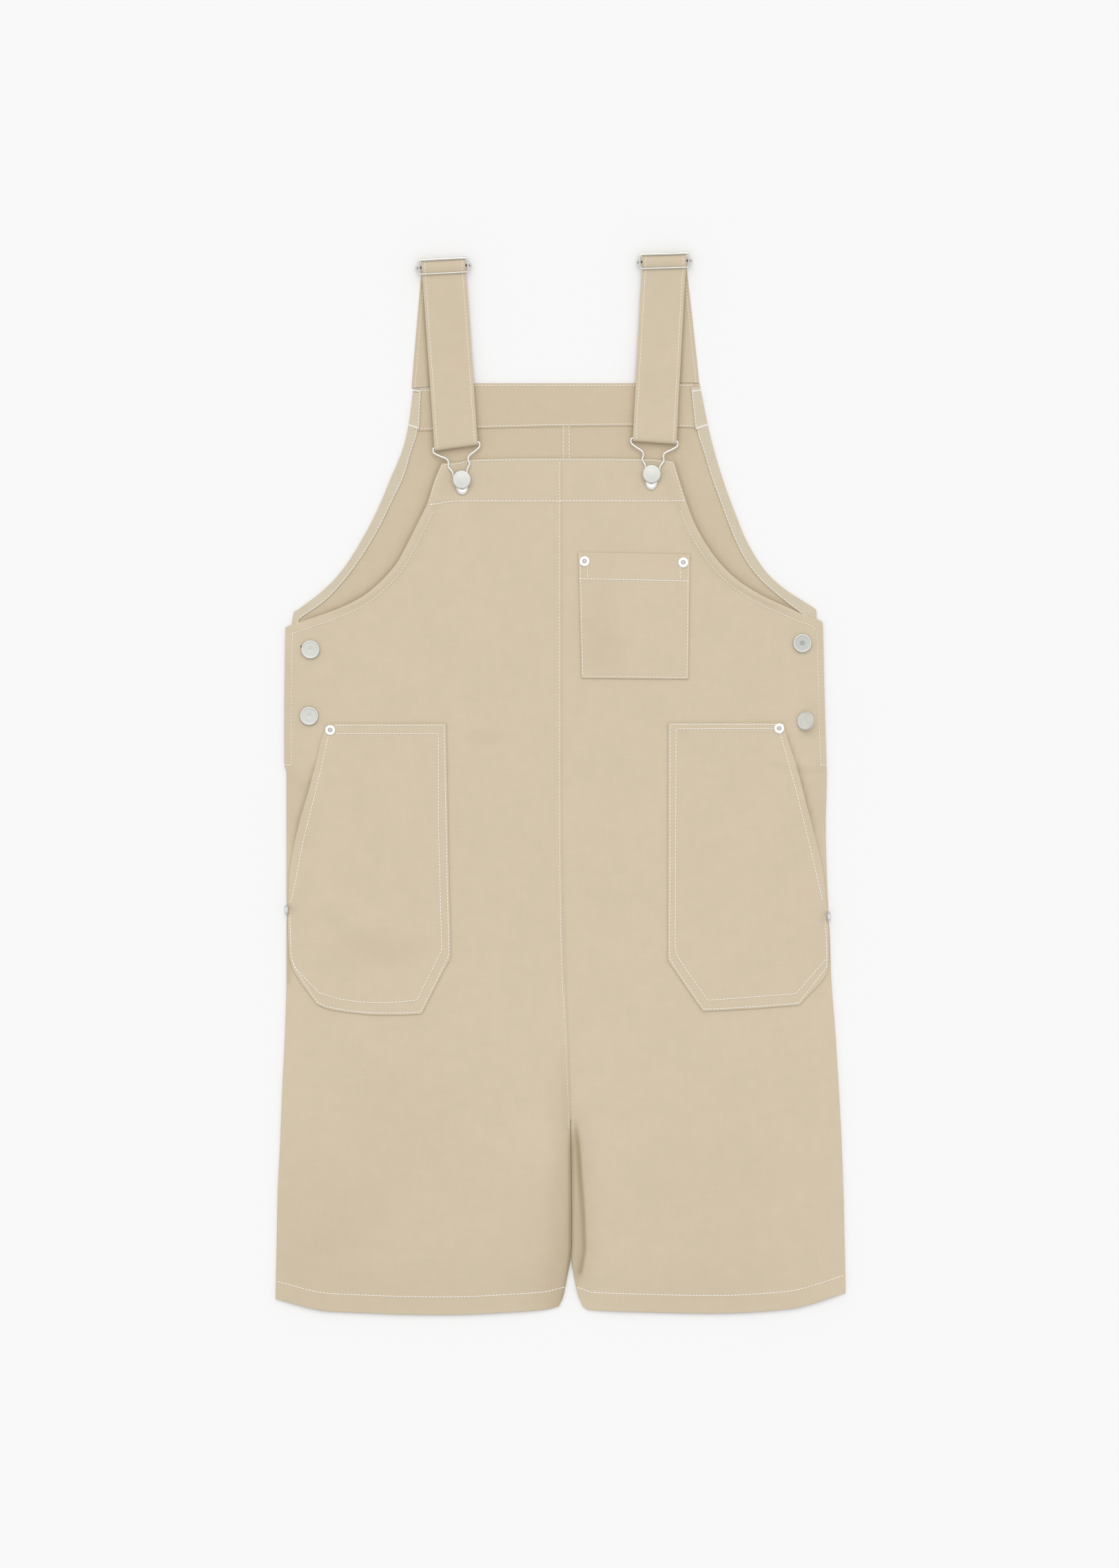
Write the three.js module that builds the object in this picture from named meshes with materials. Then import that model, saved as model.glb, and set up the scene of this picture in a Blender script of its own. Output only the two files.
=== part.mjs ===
// Shortalls laid flat with the front up: one closed solid for each cut piece and each metal fitting.
// Millimetres. The cloth lies on the plane z = 0, the straps point to +Y and the left of the plan is -X.
import * as THREE from 'three';

// Driving sizes
const CLOTH = 1.2;
const GAP = 0.3;
const HALF_SEAM = GAP / 2;
const BACK_TOP = CLOTH;
const SECOND_LAYER = BACK_TOP + GAP;
const EDGE_ROLL = 18;
const STRAP_WIDTH = 40;
const STRAP_WALL = 1.6;
const WIRE_RADIUS = 1;
const HOOK_LENGTH = 42.8;
const HOOK_DROP = 1.6;
const HOOK_BAR_HEIGHT = 5.9;
const SLIDER_HALF_WIDTH = 21.8;
const SLIDER_HALF_LENGTH = 6.5;
const SLIDER_HEIGHT = 6.8;
const SLIDER_BAR_HEIGHT = SLIDER_HEIGHT - 2 * WIRE_RADIUS - GAP;
const BUTTON_RADIUS = 8.5;
const RIVET_RADIUS = 4.7;
const CROTCH = -316;
const BIB_TOP = 294;
const BIB_BOW = { height: 2, reach: 30, halfWidth: 108.7 };
const BACK_EDGE = 366;
const BACK_DROOP = { depth: 5, from: -75, width: 55, start: 340 };
const BACK_HEM_TUCK = 1;
const BAND_EDGE = 327.5;
const BAND_END_TAIL = 4;
const LEG_BLEND = 70;
const LEG_ROLL = 36;
const SEAM_ROLL = 6;
const HEM_START = -400;
const HEM_END = -485;
const OPENING_END = 17;

// Colours as in daylight, one for each kind of surface
const DRILL = { color: '#d3c4ab', roughness: 0.92, metalness: 0 };
const DRILL_INSIDE = { color: '#cfbfa5', roughness: 0.94, metalness: 0 };
const STRAP_DRILL = { color: '#d1c4aa', roughness: 0.92, metalness: 0 };
const SATIN_METAL = { color: '#dcddd6', roughness: 0.34, metalness: 0.9 };

function table(names, rows) {
  return rows.map((row) => Object.fromEntries(names.map((name, i) => [name, row[i]])));
}

// The back's armhole edge, from the strap down to the underarm tip
const BACK_ARMHOLE = table(['y', 'left', 'right'], [
  [366, -134.5, 127],
  [340, -137, 132],
  [313, -142, 138],
  [276, -156.5, 149],
  [250, -167.5, 158.5],
  [225, -180.5, 168.5],
  [200, -196, 183],
  [187, -206.5, 194],
  [175, -219, 209],
  [162, -236, 229.5],
  [157, -243.5, 233.5],
  [146, -245.5, 233.5],
  [112, -249, 238],
  [18, -250, 241],
]);

// The inner edge of the facing that is turned onto the back's armhole
const FACING_EDGE = table(['y', 'left', 'right'], [
  [366, -128.5, 120],
  [321, -130.7, 125],
  [305, -135.8, 130],
  [282, -142.5, 137],
  [260, -152.8, 145],
  [233, -166, 155],
  [208, -181, 166.5],
  [189, -194.7, 180],
  [167, -215, 204.5],
  [156, -230.5, 219],
  [150, -239.5, 228],
]);

// The front's armhole edge, from the bib's top corner down to the side opening
const FRONT_ARMHOLE = table(['y', 'left', 'right'], [
  [294, -108.7, 103.6],
  [277, -115.4, 108.8],
  [256, -122, 115.6],
  [238, -130.6, 122.5],
  [220, -139.7, 132.4],
  [202, -149.5, 145.4],
  [187, -162.2, 160.7],
  [172, -179.7, 184],
  [162, -198.3, 205.5],
  [154, -219.5, 223.5],
  [148, -237.7, 239.2],
  [143, -251.2, 239.6],
]);

// The side edges: the side opening, and below it the side seam
const SIDE = table(['y', 'left', 'right'], [
  [143, -251.2, 239.6],
  [112, -251.7, 240.3],
  [61, -252.3, 241.6],
  [17, -252.3, 242.9],
  [11, -250.4, 243.2],
  [-39, -250.4, 242.2],
  [-90, -250.4, 243.5],
  [-140, -250.4, 246],
  [-178, -250.4, 247.3],
  [-228, -251.7, 251],
  [-279, -254.2, 254.2],
  [-329, -256.2, 256.8],
  [-380, -258.6, 258.6],
  [-430, -259.4, 259.6],
  [-485, -260.4, 260.4],
]);

// The centre seam, and below the crotch the inner edges of the two legs
const INSIDE = table(['y', 'left', 'right'], [
  [366, 0.9, 0.9],
  [24, 0.9, 0.9],
  [-102, 1.6, 1.6],
  [-165, 2.8, 2.8],
  [-208, 5.2, 5.2],
  [-250, 7.2, 7.2],
  [-302, 9.1, 9.1],
  [-420, 10.4, 10.4],
  [-434, 10.4, 10.4],
  [-456, 5.8, 14],
  [-472, 1.2, 18.6],
  [-485, -3.5, 21.9],
]);

// The lower edge of the hems across both legs
const HEM = table(['x', 'y'], [
  [-261, -470.9],
  [-210, -482.3],
  [-106, -485.4],
  [-2, -478],
  [21, -478.5],
  [139, -484.2],
  [206, -480.4],
  [261, -465.3],
]);

// How far the front stands off the back in the middle of a panel
const BODY_RISE = table(['y', 'height'], [
  [296, 0.2],
  [250, 0.5],
  [150, 1],
  [20, 1.3],
  [-120, 1.5],
  [-300, 1.8],
  [-430, 1.6],
  [-485, 0.9],
]);

// Soft ridges in the front: where each runs, its half width and its height
const FOLDS = table(['x0', 'y0', 'x1', 'y1', 'reach', 'height'], [
  [13, -330, 18, -440, 9, 1.2],
  [229, 4, 243, 9, 12, 0.6],
  [-232, -96, -150, -150, 30, 0.7],
  [-30, -380, -90, -420, 40, 0.5],
  [60, -250, 150, -330, 45, 0.5],
]);

// A side seam rivet pinches the cloth edge a little, as far from its middle as PINCH_REACH
const PINCH = 1.6;
const PINCH_REACH = 11;
const PINCH_ROWS = [-129, -123.5, -118, -112.5, -107];
const SIDE_RIVET_TILT = 60;

// Each side's own places: strap, hook, buttons and rivets
const SIDES = {
  left: {
    sign: -1,
    facingEnd: 150,
    slider: { x: -106.9, y: 472.5, turn: 3 },
    hook: { x: -95.4, y: 309.3, turn: 8 },
    strapEnd: { x: -114.3, y: 363.4, turn: 5 },
    bibButton: { x: -90.2, y: 277.5 },
    sideButtons: [{ x: -228.4, y: 122.5, tilt: 0 }, { x: -229.6, y: 61.8, tilt: 0 }],
    pocketRivet: { x: -210.4, y: 48.8 },
    sideRivet: { y: -115.2 },
  },
  right: {
    sign: 1,
    facingEnd: 156,
    slider: { x: 94.8, y: 477.2, turn: 1.7 },
    hook: { x: 85.8, y: 314.1, turn: -4 },
    strapEnd: { x: 106.7, y: 366.4, turn: 0 },
    bibButton: { x: 83.2, y: 282.6 },
    sideButtons: [{ x: 220.8, y: 128.2, tilt: 0 }, { x: 224, y: 57.3, tilt: 12 }],
    pocketRivet: { x: 199.6, y: 50.3 },
    sideRivet: { y: -121.3 },
  },
};

// The hip pockets' outlines by height, and the height of the lower edge at its two corners
const HIP_POCKETS = {
  left: {
    rows: table(['y', 'outer', 'inner'], [
      [55, -206, -104.3],
      [50.5, -214.8, -104.3],
      [-30, -232, -102.8],
      [-105, -247.4, -101.3],
      [-115, -249.2, -101],
      [-157, -248, -100.2],
      [-170, -244.8, -107],
      [-206, -223.1, -126.7],
    ]),
    foot: { outer: -201.3, inner: -211.4 },
  },
  right: {
    rows: table(['y', 'outer', 'inner'], [
      [55.8, 203.8, 98.2],
      [47.6, 206, 98.2],
      [-30, 224.5, 98],
      [-109, 242.6, 97.9],
      [-121, 244.6, 97.8],
      [-160, 245.2, 97.8],
      [-169, 244.8, 103.7],
      [-205, 218.3, 129.9],
    ]),
    foot: { outer: -202.5, inner: -208.1 },
  },
};
const CHAMFER_ROWS = [-178, -187, -196];
const GAPE = { middle: -30, reach: 50, depth: 26, height: 1.5 };
const CHEST_POCKET = {
  topLeft: [16.1, 211.4],
  topRight: [118.1, 209.5],
  bottomLeft: [19, 96.4],
  bottomRight: [116.9, 95.4],
  rivets: [[21.9, 203], [112.1, 201.9]],
};

// Half of a hook's wire: how far from its middle line, and how far below its bar
const HOOK_WIRE = table(['out', 'down'], [
  [0, 0],
  [20.4, 0],
  [21.7, 1.3],
  [21.7, 3.8],
  [17, 7.4],
  [10.4, 11],
  [9.1, 14.5],
  [9.7, 18.9],
  [6.9, 24.4],
  [7.6, 31],
  [6.4, 37.6],
  [3.6, 41.6],
  [0, HOOK_LENGTH],
]);

// The strap round the slider: how far above the bar in the plan, and the height of the strap's middle
const OVER_SLIDER = table(['along', 'height'], [
  [3.6, 0.8],
  [5.6, 1.1],
  [6.8, 2.1],
  [6.8, 3.3],
  [5.8, 4.4],
  [4.2, 5.5],
  [2.2, 6.3],
  [0, 6.6],
  [-2.2, 6.3],
  [-4.5, 5.4],
  [-6.5, 4.7],
]);

// The strap's two runs between slider and hook, by the share of the way down
const RUNS = table(['share', 'front', 'under'], [
  [0.08, 4.8, 2.8],
  [0.48, 4.8, 2.8],
  [0.62, 5.8, 3.8],
  [0.84, 6.1, 3.8],
  [0.93, 7.2, 3.8],
  [0.98, 8, 3.8],
]);
const STRAP_TUCK = table(['along', 'height'], [
  [-7.5, 2.78],
  [-6.2, 2.78],
  [-4, 3.3],
  [-1.7, 4.2],
]);

function ease(t) {
  const s = Math.min(1, Math.max(0, t));
  return s * s * (3 - 2 * s);
}

// A smooth curve through a table's rows that never swings past them
function curve(rows, from, to) {
  const sorted = [...rows].sort((a, b) => a[from] - b[from]);
  const at = sorted.map((row) => row[from]);
  const value = sorted.map((row) => row[to]);
  const last = at.length - 1;
  const slope = at.slice(1).map((x, i) => (value[i + 1] - value[i]) / (x - at[i]));
  const tangent = at.map((_, i) => {
    if (i === 0) return slope[0];
    if (i === last) return slope[last - 1];
    const product = slope[i - 1] * slope[i];
    return product <= 0 ? 0 : (2 * product) / (slope[i - 1] + slope[i]);
  });
  return (x) => {
    if (x <= at[0]) return value[0];
    if (x >= at[last]) return value[last];
    const i = at.findIndex((next) => next > x) - 1;
    const h = at[i + 1] - at[i];
    const t = (x - at[i]) / h;
    const blend = ease(t);
    const out = t * (1 - t) * (1 - t) * h * tangent[i];
    const back = t * t * (1 - t) * h * tangent[i + 1];
    return value[i] + (value[i + 1] - value[i]) * blend + out - back;
  };
}

const hemLine = curve(HEM, 'x', 'y');
const bodyRise = curve(BODY_RISE, 'y', 'height');
for (const name of ['left', 'right']) {
  const side = SIDES[name];
  side.armhole = curve(FRONT_ARMHOLE, 'y', name);
  side.seam = curve(SIDE, 'y', name);
  side.inside = curve(INSIDE, 'y', name);
  side.backEdge = curve(BACK_ARMHOLE, 'y', name);
  side.facing = curve(FACING_EDGE, 'y', name);
}

// How far the side seam is drawn in beside its rivet
function pinch(side, y) {
  return PINCH * ease(1 - Math.abs(y - side.sideRivet.y) / PINCH_REACH);
}

function frontEdge(side, y) {
  const edge = y > FRONT_ARMHOLE.at(-1).y ? side.armhole(y) : side.seam(y);
  return edge - side.sign * pinch(side, y);
}

// The edge of one side's panels along the centre seam or the inner leg
function innerEdge(side, y) {
  return side.inside(y) + side.sign * HALF_SEAM;
}

function foldHeight(x, y) {
  let sum = 0;
  for (const fold of FOLDS) {
    const dx = fold.x1 - fold.x0;
    const dy = fold.y1 - fold.y0;
    const along = ((x - fold.x0) * dx + (y - fold.y0) * dy) / (dx * dx + dy * dy);
    const t = Math.min(1, Math.max(0, along));
    const far = Math.hypot(x - fold.x0 - t * dx, y - fold.y0 - t * dy);
    sum += fold.height * ease(1 - far / fold.reach);
  }
  return sum;
}

// The underside of the front: on the back at every edge, a little off it between
function frontUnder(side, x, y) {
  const fromSeam = side.sign * (frontEdge(side, y) - x);
  const fromLeg = side.sign * (x - side.inside(y));
  const legShare = ease((CROTCH - y) / LEG_BLEND);
  const legFall = 1 - legShare * (1 - ease(fromLeg / LEG_ROLL));
  const stand = bodyRise(y) * legFall + foldHeight(x, y) * ease(fromLeg / SEAM_ROLL);
  return SECOND_LAYER + stand * ease(fromSeam / EDGE_ROLL);
}

function frontTop(side, x, y) {
  return frontUnder(side, x, y) + CLOTH;
}

// Rows are laid from the hem up. A row's height bends near the hem and near the bib's top edge.
function frontFlow(x, y) {
  if (y < HEM_START) return HEM_START + ((y - HEM_START) * (hemLine(x) - HEM_START)) / (HEM_END - HEM_START);
  const bow = ease((y - BIB_TOP + BIB_BOW.reach) / BIB_BOW.reach) * BIB_BOW.height;
  return y + bow * (1 - Math.abs(x) / BIB_BOW.halfWidth);
}

// Heights for the rows of a grid: a table's own, with more between them where they lie far apart
function rowHeights(heights, step) {
  const sorted = [...new Set(heights)].sort((a, b) => a - b);
  const rows = [sorted[0]];
  sorted.slice(1).forEach((y, i) => {
    const parts = Math.ceil((y - sorted[i]) / step);
    for (let k = 1; k <= parts; k += 1) rows.push(sorted[i] + ((y - sorted[i]) * k) / parts);
  });
  return rows;
}

// Places across a row: close together near both edges, wider apart between
function acrossWithEdges(from, to) {
  const edgeSteps = 3;
  const middleSteps = 5;
  const reach = Math.min(EDGE_ROLL, (to - from) / 4);
  const places = [];
  for (let i = 0; i < edgeSteps; i += 1) places.push(from + (reach * i) / edgeSteps);
  for (let i = 0; i <= middleSteps; i += 1) {
    places.push(from + reach + ((to - from - 2 * reach) * i) / middleSteps);
  }
  for (let i = edgeSteps - 1; i >= 0; i -= 1) places.push(to - (reach * i) / edgeSteps);
  return places;
}

function acrossEven(steps) {
  return (from, to) => Array.from({ length: steps + 1 }, (_, i) => from + ((to - from) * i) / steps);
}

// The plan of a piece between two edges: rows of [x, y], each row from -X to +X
function plan(heights, edgeA, edgeB, across, flow = (x, y) => y) {
  return heights.map((y) => {
    const [from, to] = [edgeA(y), edgeB(y)].sort((a, b) => a - b);
    return across(from, to).map((x) => [x, flow(x, y)]);
  });
}

// A cloth wall over a plan: its underside follows a height, its top is one wall above
function wall(rows, under, thickness = CLOTH) {
  const across = rows[0].length;
  const count = rows.length * across;
  const positions = [];
  for (const lift of [thickness, 0]) {
    for (const row of rows) row.forEach(([x, y]) => positions.push(x, y, under(x, y) + lift));
  }
  const index = [];
  const quad = (a, b, c, d) => index.push(a, b, c, a, c, d);
  const at = (r, c) => r * across + c;
  const low = (r, c) => count + at(r, c);
  for (let r = 0; r + 1 < rows.length; r += 1) {
    for (let c = 0; c + 1 < across; c += 1) {
      quad(at(r, c), at(r, c + 1), at(r + 1, c + 1), at(r + 1, c));
      quad(low(r, c), low(r + 1, c), low(r + 1, c + 1), low(r, c + 1));
    }
    quad(at(r, 0), at(r + 1, 0), low(r + 1, 0), low(r, 0));
    quad(at(r + 1, across - 1), at(r, across - 1), low(r, across - 1), low(r + 1, across - 1));
  }
  const end = rows.length - 1;
  for (let c = 0; c + 1 < across; c += 1) {
    quad(at(0, c + 1), at(0, c), low(0, c), low(0, c + 1));
    quad(at(end, c), at(end, c + 1), low(end, c + 1), low(end, c));
  }
  return closedBody(positions, index);
}

function closedBody(positions, index) {
  const geometry = new THREE.BufferGeometry();
  geometry.setAttribute('position', new THREE.Float32BufferAttribute(positions, 3));
  geometry.setIndex(index);
  geometry.computeVertexNormals();
  return geometry;
}

// A strip with a flat section that follows a path: each stop has a place and a direction across
function strip(stops, width, thickness) {
  const positions = [];
  const index = [];
  stops.forEach((stop, i) => {
    const before = stops[Math.max(0, i - 1)].place;
    const after = stops[Math.min(stops.length - 1, i + 1)].place;
    const along = after.clone().sub(before).normalize();
    const face = new THREE.Vector3().crossVectors(stop.across, along).normalize();
    for (const [w, t] of [[-0.5, -0.5], [0.5, -0.5], [0.5, 0.5], [-0.5, 0.5]]) {
      const corner = stop.place.clone().addScaledVector(stop.across, w * width);
      corner.addScaledVector(face, t * thickness);
      positions.push(corner.x, corner.y, corner.z);
    }
    if (i === 0) return;
    for (let k = 0; k < 4; k += 1) {
      const a = 4 * (i - 1) + k;
      const b = 4 * (i - 1) + ((k + 1) % 4);
      index.push(a, b + 4, b, a, a + 4, b + 4);
    }
  });
  const end = 4 * (stops.length - 1);
  index.push(0, 1, 2, 0, 2, 3, end, end + 2, end + 1, end, end + 3, end + 2);
  return closedBody(positions, index);
}

// A round wire that closes on itself, through places that lie in one plane
function wireRing(places, normal) {
  const sides = 6;
  const count = places.length;
  const positions = [];
  const index = [];
  places.forEach((place, i) => {
    const before = places[(i + count - 1) % count];
    const after = places[(i + 1) % count];
    const out = after.clone().sub(before).normalize().cross(normal).normalize();
    for (let k = 0; k < sides; k += 1) {
      const angle = (2 * Math.PI * k) / sides;
      const point = place.clone().addScaledVector(out, WIRE_RADIUS * Math.cos(angle));
      point.addScaledVector(normal, WIRE_RADIUS * Math.sin(angle));
      positions.push(point.x, point.y, point.z);
      const [a, b] = [i * sides + k, i * sides + ((k + 1) % sides)];
      const [c, d] = [((i + 1) % count) * sides + k, ((i + 1) % count) * sides + ((k + 1) % sides)];
      index.push(a, c, d, a, d, b);
    }
  });
  return closedBody(positions, index);
}

// A turned piece with its axis along Z
function turned(profile, sides = 18) {
  const points = profile.map(([radius, height]) => new THREE.Vector2(radius, height));
  const geometry = new THREE.LatheGeometry(points, sides);
  geometry.rotateX(Math.PI / 2);
  return geometry;
}

const shortalls = new THREE.Group();

function add(name, geometry, finish, place = [0, 0, 0], turn = [0, 0, 0]) {
  const mesh = new THREE.Mesh(geometry, new THREE.MeshStandardMaterial(finish));
  mesh.name = name;
  mesh.position.set(...place);
  mesh.rotation.set(...turn.map(THREE.MathUtils.degToRad));
  shortalls.add(mesh);
}

// Back: two panels with the centre seam between them, flat on the surface
function backFlow(x, y) {
  if (y < HEM_START) return frontFlow(x, y) + BACK_HEM_TUCK;
  const across = ease((BACK_DROOP.from - x) / BACK_DROOP.width);
  const up = ease((y - BACK_DROOP.start) / (BACK_EDGE - BACK_DROOP.start));
  return y - BACK_DROOP.depth * across * up;
}

function addBack(name, side) {
  const below = [...SIDE, ...INSIDE].map((row) => row.y).filter((y) => y < OPENING_END);
  const rows = rowHeights([...BACK_ARMHOLE.map((row) => row.y), ...below, ...PINCH_ROWS], 60);
  const outer = (y) => (y > OPENING_END ? side.backEdge(y) : frontEdge(side, y));
  const shape = plan(rows, (y) => innerEdge(side, y), outer, acrossEven(4), backFlow);
  add(`back_panel_${name}`, wall(shape, () => 0), DRILL_INSIDE);
}

// The band and the facings are turned onto the inside of the back
function addBackTrim(name, side) {
  const inner = (y) => side.facing(y);
  const endRows = rowHeights([BAND_EDGE - BAND_END_TAIL, BACK_EDGE], 15);
  const endPiece = plan(endRows, inner, (y) => side.backEdge(y), acrossEven(2), backFlow);
  add(`back_band_end_${name}`, wall(endPiece, () => SECOND_LAYER), DRILL_INSIDE);
  const top = BAND_EDGE - BAND_END_TAIL - GAP;
  const facingRows = FACING_EDGE.map((row) => row.y).filter((y) => y > side.facingEnd && y < top);
  const facing = plan(
    rowHeights([side.facingEnd, ...facingRows, top], 14),
    inner,
    (y) => side.backEdge(y),
    acrossEven(1),
  );
  add(`back_armhole_facing_${name}`, wall(facing, () => SECOND_LAYER), DRILL_INSIDE);
}

function addBackBand() {
  const left = (y) => SIDES.left.facing(y) + GAP;
  const right = (y) => SIDES.right.facing(y) - GAP;
  const shape = plan(rowHeights([BAND_EDGE, BACK_EDGE], 13), left, right, acrossEven(14), backFlow);
  add('back_band', wall(shape, () => SECOND_LAYER), DRILL_INSIDE);
}

// Front: bib and leg are one cut on each side of the centre seam
function addFront(name, side) {
  const marks = [
    ...FRONT_ARMHOLE.map((row) => row.y),
    ...SIDE.map((row) => row.y),
    ...INSIDE.map((row) => row.y).filter((y) => y < BIB_TOP),
    ...PINCH_ROWS,
  ];
  const rows = rowHeights(marks, 22);
  const inner = (y) => innerEdge(side, y);
  const shape = plan(rows, inner, (y) => frontEdge(side, y), acrossWithEdges, frontFlow);
  add(`front_panel_${name}`, wall(shape, (x, y) => frontUnder(side, x, y)), DRILL);
}

// Pockets follow the front's own height, one gap above it
function addHipPocket(name, side) {
  const pocket = HIP_POCKETS[name];
  const outerTrack = curve(pocket.rows, 'y', 'outer');
  const innerTrack = curve(pocket.rows, 'y', 'inner');
  const foot = pocket.rows.at(-1);
  const footStart = -157;
  const flow = (x, y) => {
    if (y > footStart) return y;
    const share = (x - foot.outer) / (foot.inner - foot.outer);
    const edge = pocket.foot.outer + (pocket.foot.inner - pocket.foot.outer) * share;
    return footStart + ((y - footStart) * (edge - footStart)) / (foot.y - footStart);
  };
  const outer = (y) => {
    const seam = frontEdge(side, y) - side.sign * GAP;
    return side.sign * Math.min(side.sign * outerTrack(y), side.sign * seam);
  };
  const gape = (x, y) => {
    const along = ease(1 - Math.abs(y - GAPE.middle) / GAPE.reach);
    const fromEdge = side.sign * (outerTrack(y) - x);
    return GAPE.height * along * ease(1 - fromEdge / GAPE.depth);
  };
  const under = (x, y) => frontTop(side, x, y) + GAP + gape(x, y);
  const rows = rowHeights([...pocket.rows.map((row) => row.y), ...PINCH_ROWS, ...CHAMFER_ROWS], 18);
  add(`hip_pocket_${name}`, wall(plan(rows, innerTrack, outer, acrossWithEdges, flow), under), DRILL);
}

function addChestPocket() {
  const { topLeft, topRight, bottomLeft, bottomRight } = CHEST_POCKET;
  const [rowSteps, columnSteps] = [7, 6];
  const mix = (a, b, t) => a + (b - a) * t;
  const rows = [];
  for (let r = 0; r <= rowSteps; r += 1) {
    const v = r / rowSteps;
    const row = [];
    for (let c = 0; c <= columnSteps; c += 1) {
      const u = c / columnSteps;
      const low = bottomLeft.map((value, k) => mix(value, bottomRight[k], u));
      const high = topLeft.map((value, k) => mix(value, topRight[k], u));
      row.push(low.map((value, k) => mix(value, high[k], v)));
    }
    rows.push(row);
  }
  add('chest_pocket', wall(rows, (x, y) => frontTop(SIDES.right, x, y) + GAP), DRILL);
}

// Directions in the plan for something turned by a few degrees: across it, and up along it
function planAxes(turn) {
  const angle = THREE.MathUtils.degToRad(turn);
  const across = new THREE.Vector3(Math.cos(angle), Math.sin(angle), 0);
  const up = new THREE.Vector3(-Math.sin(angle), Math.cos(angle), 0);
  return { across, up };
}

// One strap: up the back, over the slider's bar, down the front, round the hook's bar and up to the slider
function strapStops(side) {
  const { slider, hook, strapEnd } = side;
  const sliderAxes = planAxes(slider.turn);
  const hookAxes = planAxes(hook.turn);
  const atSlider = (along, height) => ({
    place: new THREE.Vector3(slider.x, slider.y, height).addScaledVector(sliderAxes.up, along),
    across: sliderAxes.across,
  });
  const onRun = (share, height) => ({
    place: new THREE.Vector3(
      slider.x + (hook.x - slider.x) * share,
      slider.y + (hook.y - slider.y) * share,
      height,
    ),
    across: planAxes(slider.turn + (hook.turn - slider.turn) * share).across,
  });
  const stops = [];
  const backSteps = 6;
  for (let i = 0; i < backSteps; i += 1) {
    const share = i / backSteps;
    const place = new THREE.Vector3(
      strapEnd.x + (slider.x - strapEnd.x) * share,
      strapEnd.y + (slider.y - strapEnd.y) * share,
      STRAP_WALL / 2,
    );
    stops.push({ place, across: planAxes(strapEnd.turn + (slider.turn - strapEnd.turn) * share).across });
  }
  for (const row of OVER_SLIDER) stops.push(atSlider(row.along, row.height));
  for (const row of RUNS) stops.push(onRun(row.share, row.front));
  const foldRadius = WIRE_RADIUS + GAP + STRAP_WALL / 2;
  const foldSteps = 8;
  for (let i = 0; i <= foldSteps; i += 1) {
    const angle = Math.PI / 2 - (Math.PI * i) / foldSteps;
    const height = HOOK_BAR_HEIGHT + foldRadius * Math.sin(angle);
    const place = new THREE.Vector3(hook.x, hook.y, height);
    place.addScaledVector(hookAxes.up, -foldRadius * Math.cos(angle));
    stops.push({ place, across: hookAxes.across });
  }
  for (const row of [...RUNS].reverse()) stops.push(onRun(row.share, row.under));
  for (const row of STRAP_TUCK) stops.push(atSlider(row.along, row.height));
  return stops;
}

function addHook(name, side) {
  const { across, up } = planAxes(side.hook.turn);
  const slope = HOOK_DROP / HOOK_LENGTH;
  const normal = up.clone().multiplyScalar(-slope).add(new THREE.Vector3(0, 0, 1)).normalize();
  const mirrored = HOOK_WIRE.slice(0, -1).reverse().map(({ out, down }) => ({ out: -out, down }));
  const stops = [...HOOK_WIRE.slice(1), ...mirrored].map(({ out, down }) => {
    const place = new THREE.Vector3(side.hook.x, side.hook.y, HOOK_BAR_HEIGHT - slope * down);
    return place.addScaledVector(across, out).addScaledVector(up, -down);
  });
  const bend = new THREE.CatmullRomCurve3(stops, true, 'centripetal');
  add(`hook_${name}`, wireRing(bend.getPoints(54).slice(0, -1), normal), SATIN_METAL);
}

function addSlider(name, side) {
  const { slider } = side;
  const cornerRadius = 2.2;
  const cornerSteps = 4;
  const places = [];
  const corners = [[1, 1, 0], [-1, 1, 90], [-1, -1, 180], [1, -1, 270]];
  for (const [sx, sy, start] of corners) {
    for (let i = 0; i <= cornerSteps; i += 1) {
      const angle = THREE.MathUtils.degToRad(start + (90 * i) / cornerSteps);
      places.push(new THREE.Vector3(
        sx * (SLIDER_HALF_WIDTH - cornerRadius) + cornerRadius * Math.cos(angle),
        sy * (SLIDER_HALF_LENGTH - cornerRadius) + cornerRadius * Math.sin(angle),
        0,
      ));
    }
  }
  const frame = wireRing(places, new THREE.Vector3(0, 0, 1));
  add(`slider_frame_${name}`, frame, SATIN_METAL, [slider.x, slider.y, SLIDER_HEIGHT], [0, 0, slider.turn]);
  const knobStart = SLIDER_HALF_WIDTH + WIRE_RADIUS + GAP;
  const knobEnd = knobStart + 1.9;
  const bar = turned([
    [0, -knobEnd], [1.1, -knobEnd], [1.6, -knobEnd + 0.5], [1.6, -knobStart], [WIRE_RADIUS, -knobStart],
    [WIRE_RADIUS, knobStart], [1.6, knobStart], [1.6, knobEnd - 0.5], [1.1, knobEnd], [0, knobEnd],
  ], 12);
  bar.rotateY(Math.PI / 2);
  add(`slider_bar_${name}`, bar, SATIN_METAL, [slider.x, slider.y, SLIDER_BAR_HEIGHT], [0, 0, slider.turn]);
}

// The bib button stands on its shank inside the hook, and its head covers the hook's eye
function addBibButton(name, side) {
  const { x, y } = side.bibButton;
  const seat = frontTop(side, x, y) + GAP;
  const head = 6.4 - seat;
  const button = turned([
    [0, 0], [4, 0], [4, 0.5], [2.6, 0.9], [2.6, head], [7.6, head], [BUTTON_RADIUS, head + 0.5],
    [BUTTON_RADIUS, head + 1.1], [7.7, head + 1.7], [6, head + 1.9], [0, head + 2],
  ]);
  add(`bib_button_${name}`, button, SATIN_METAL, [x, y, seat]);
}

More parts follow.
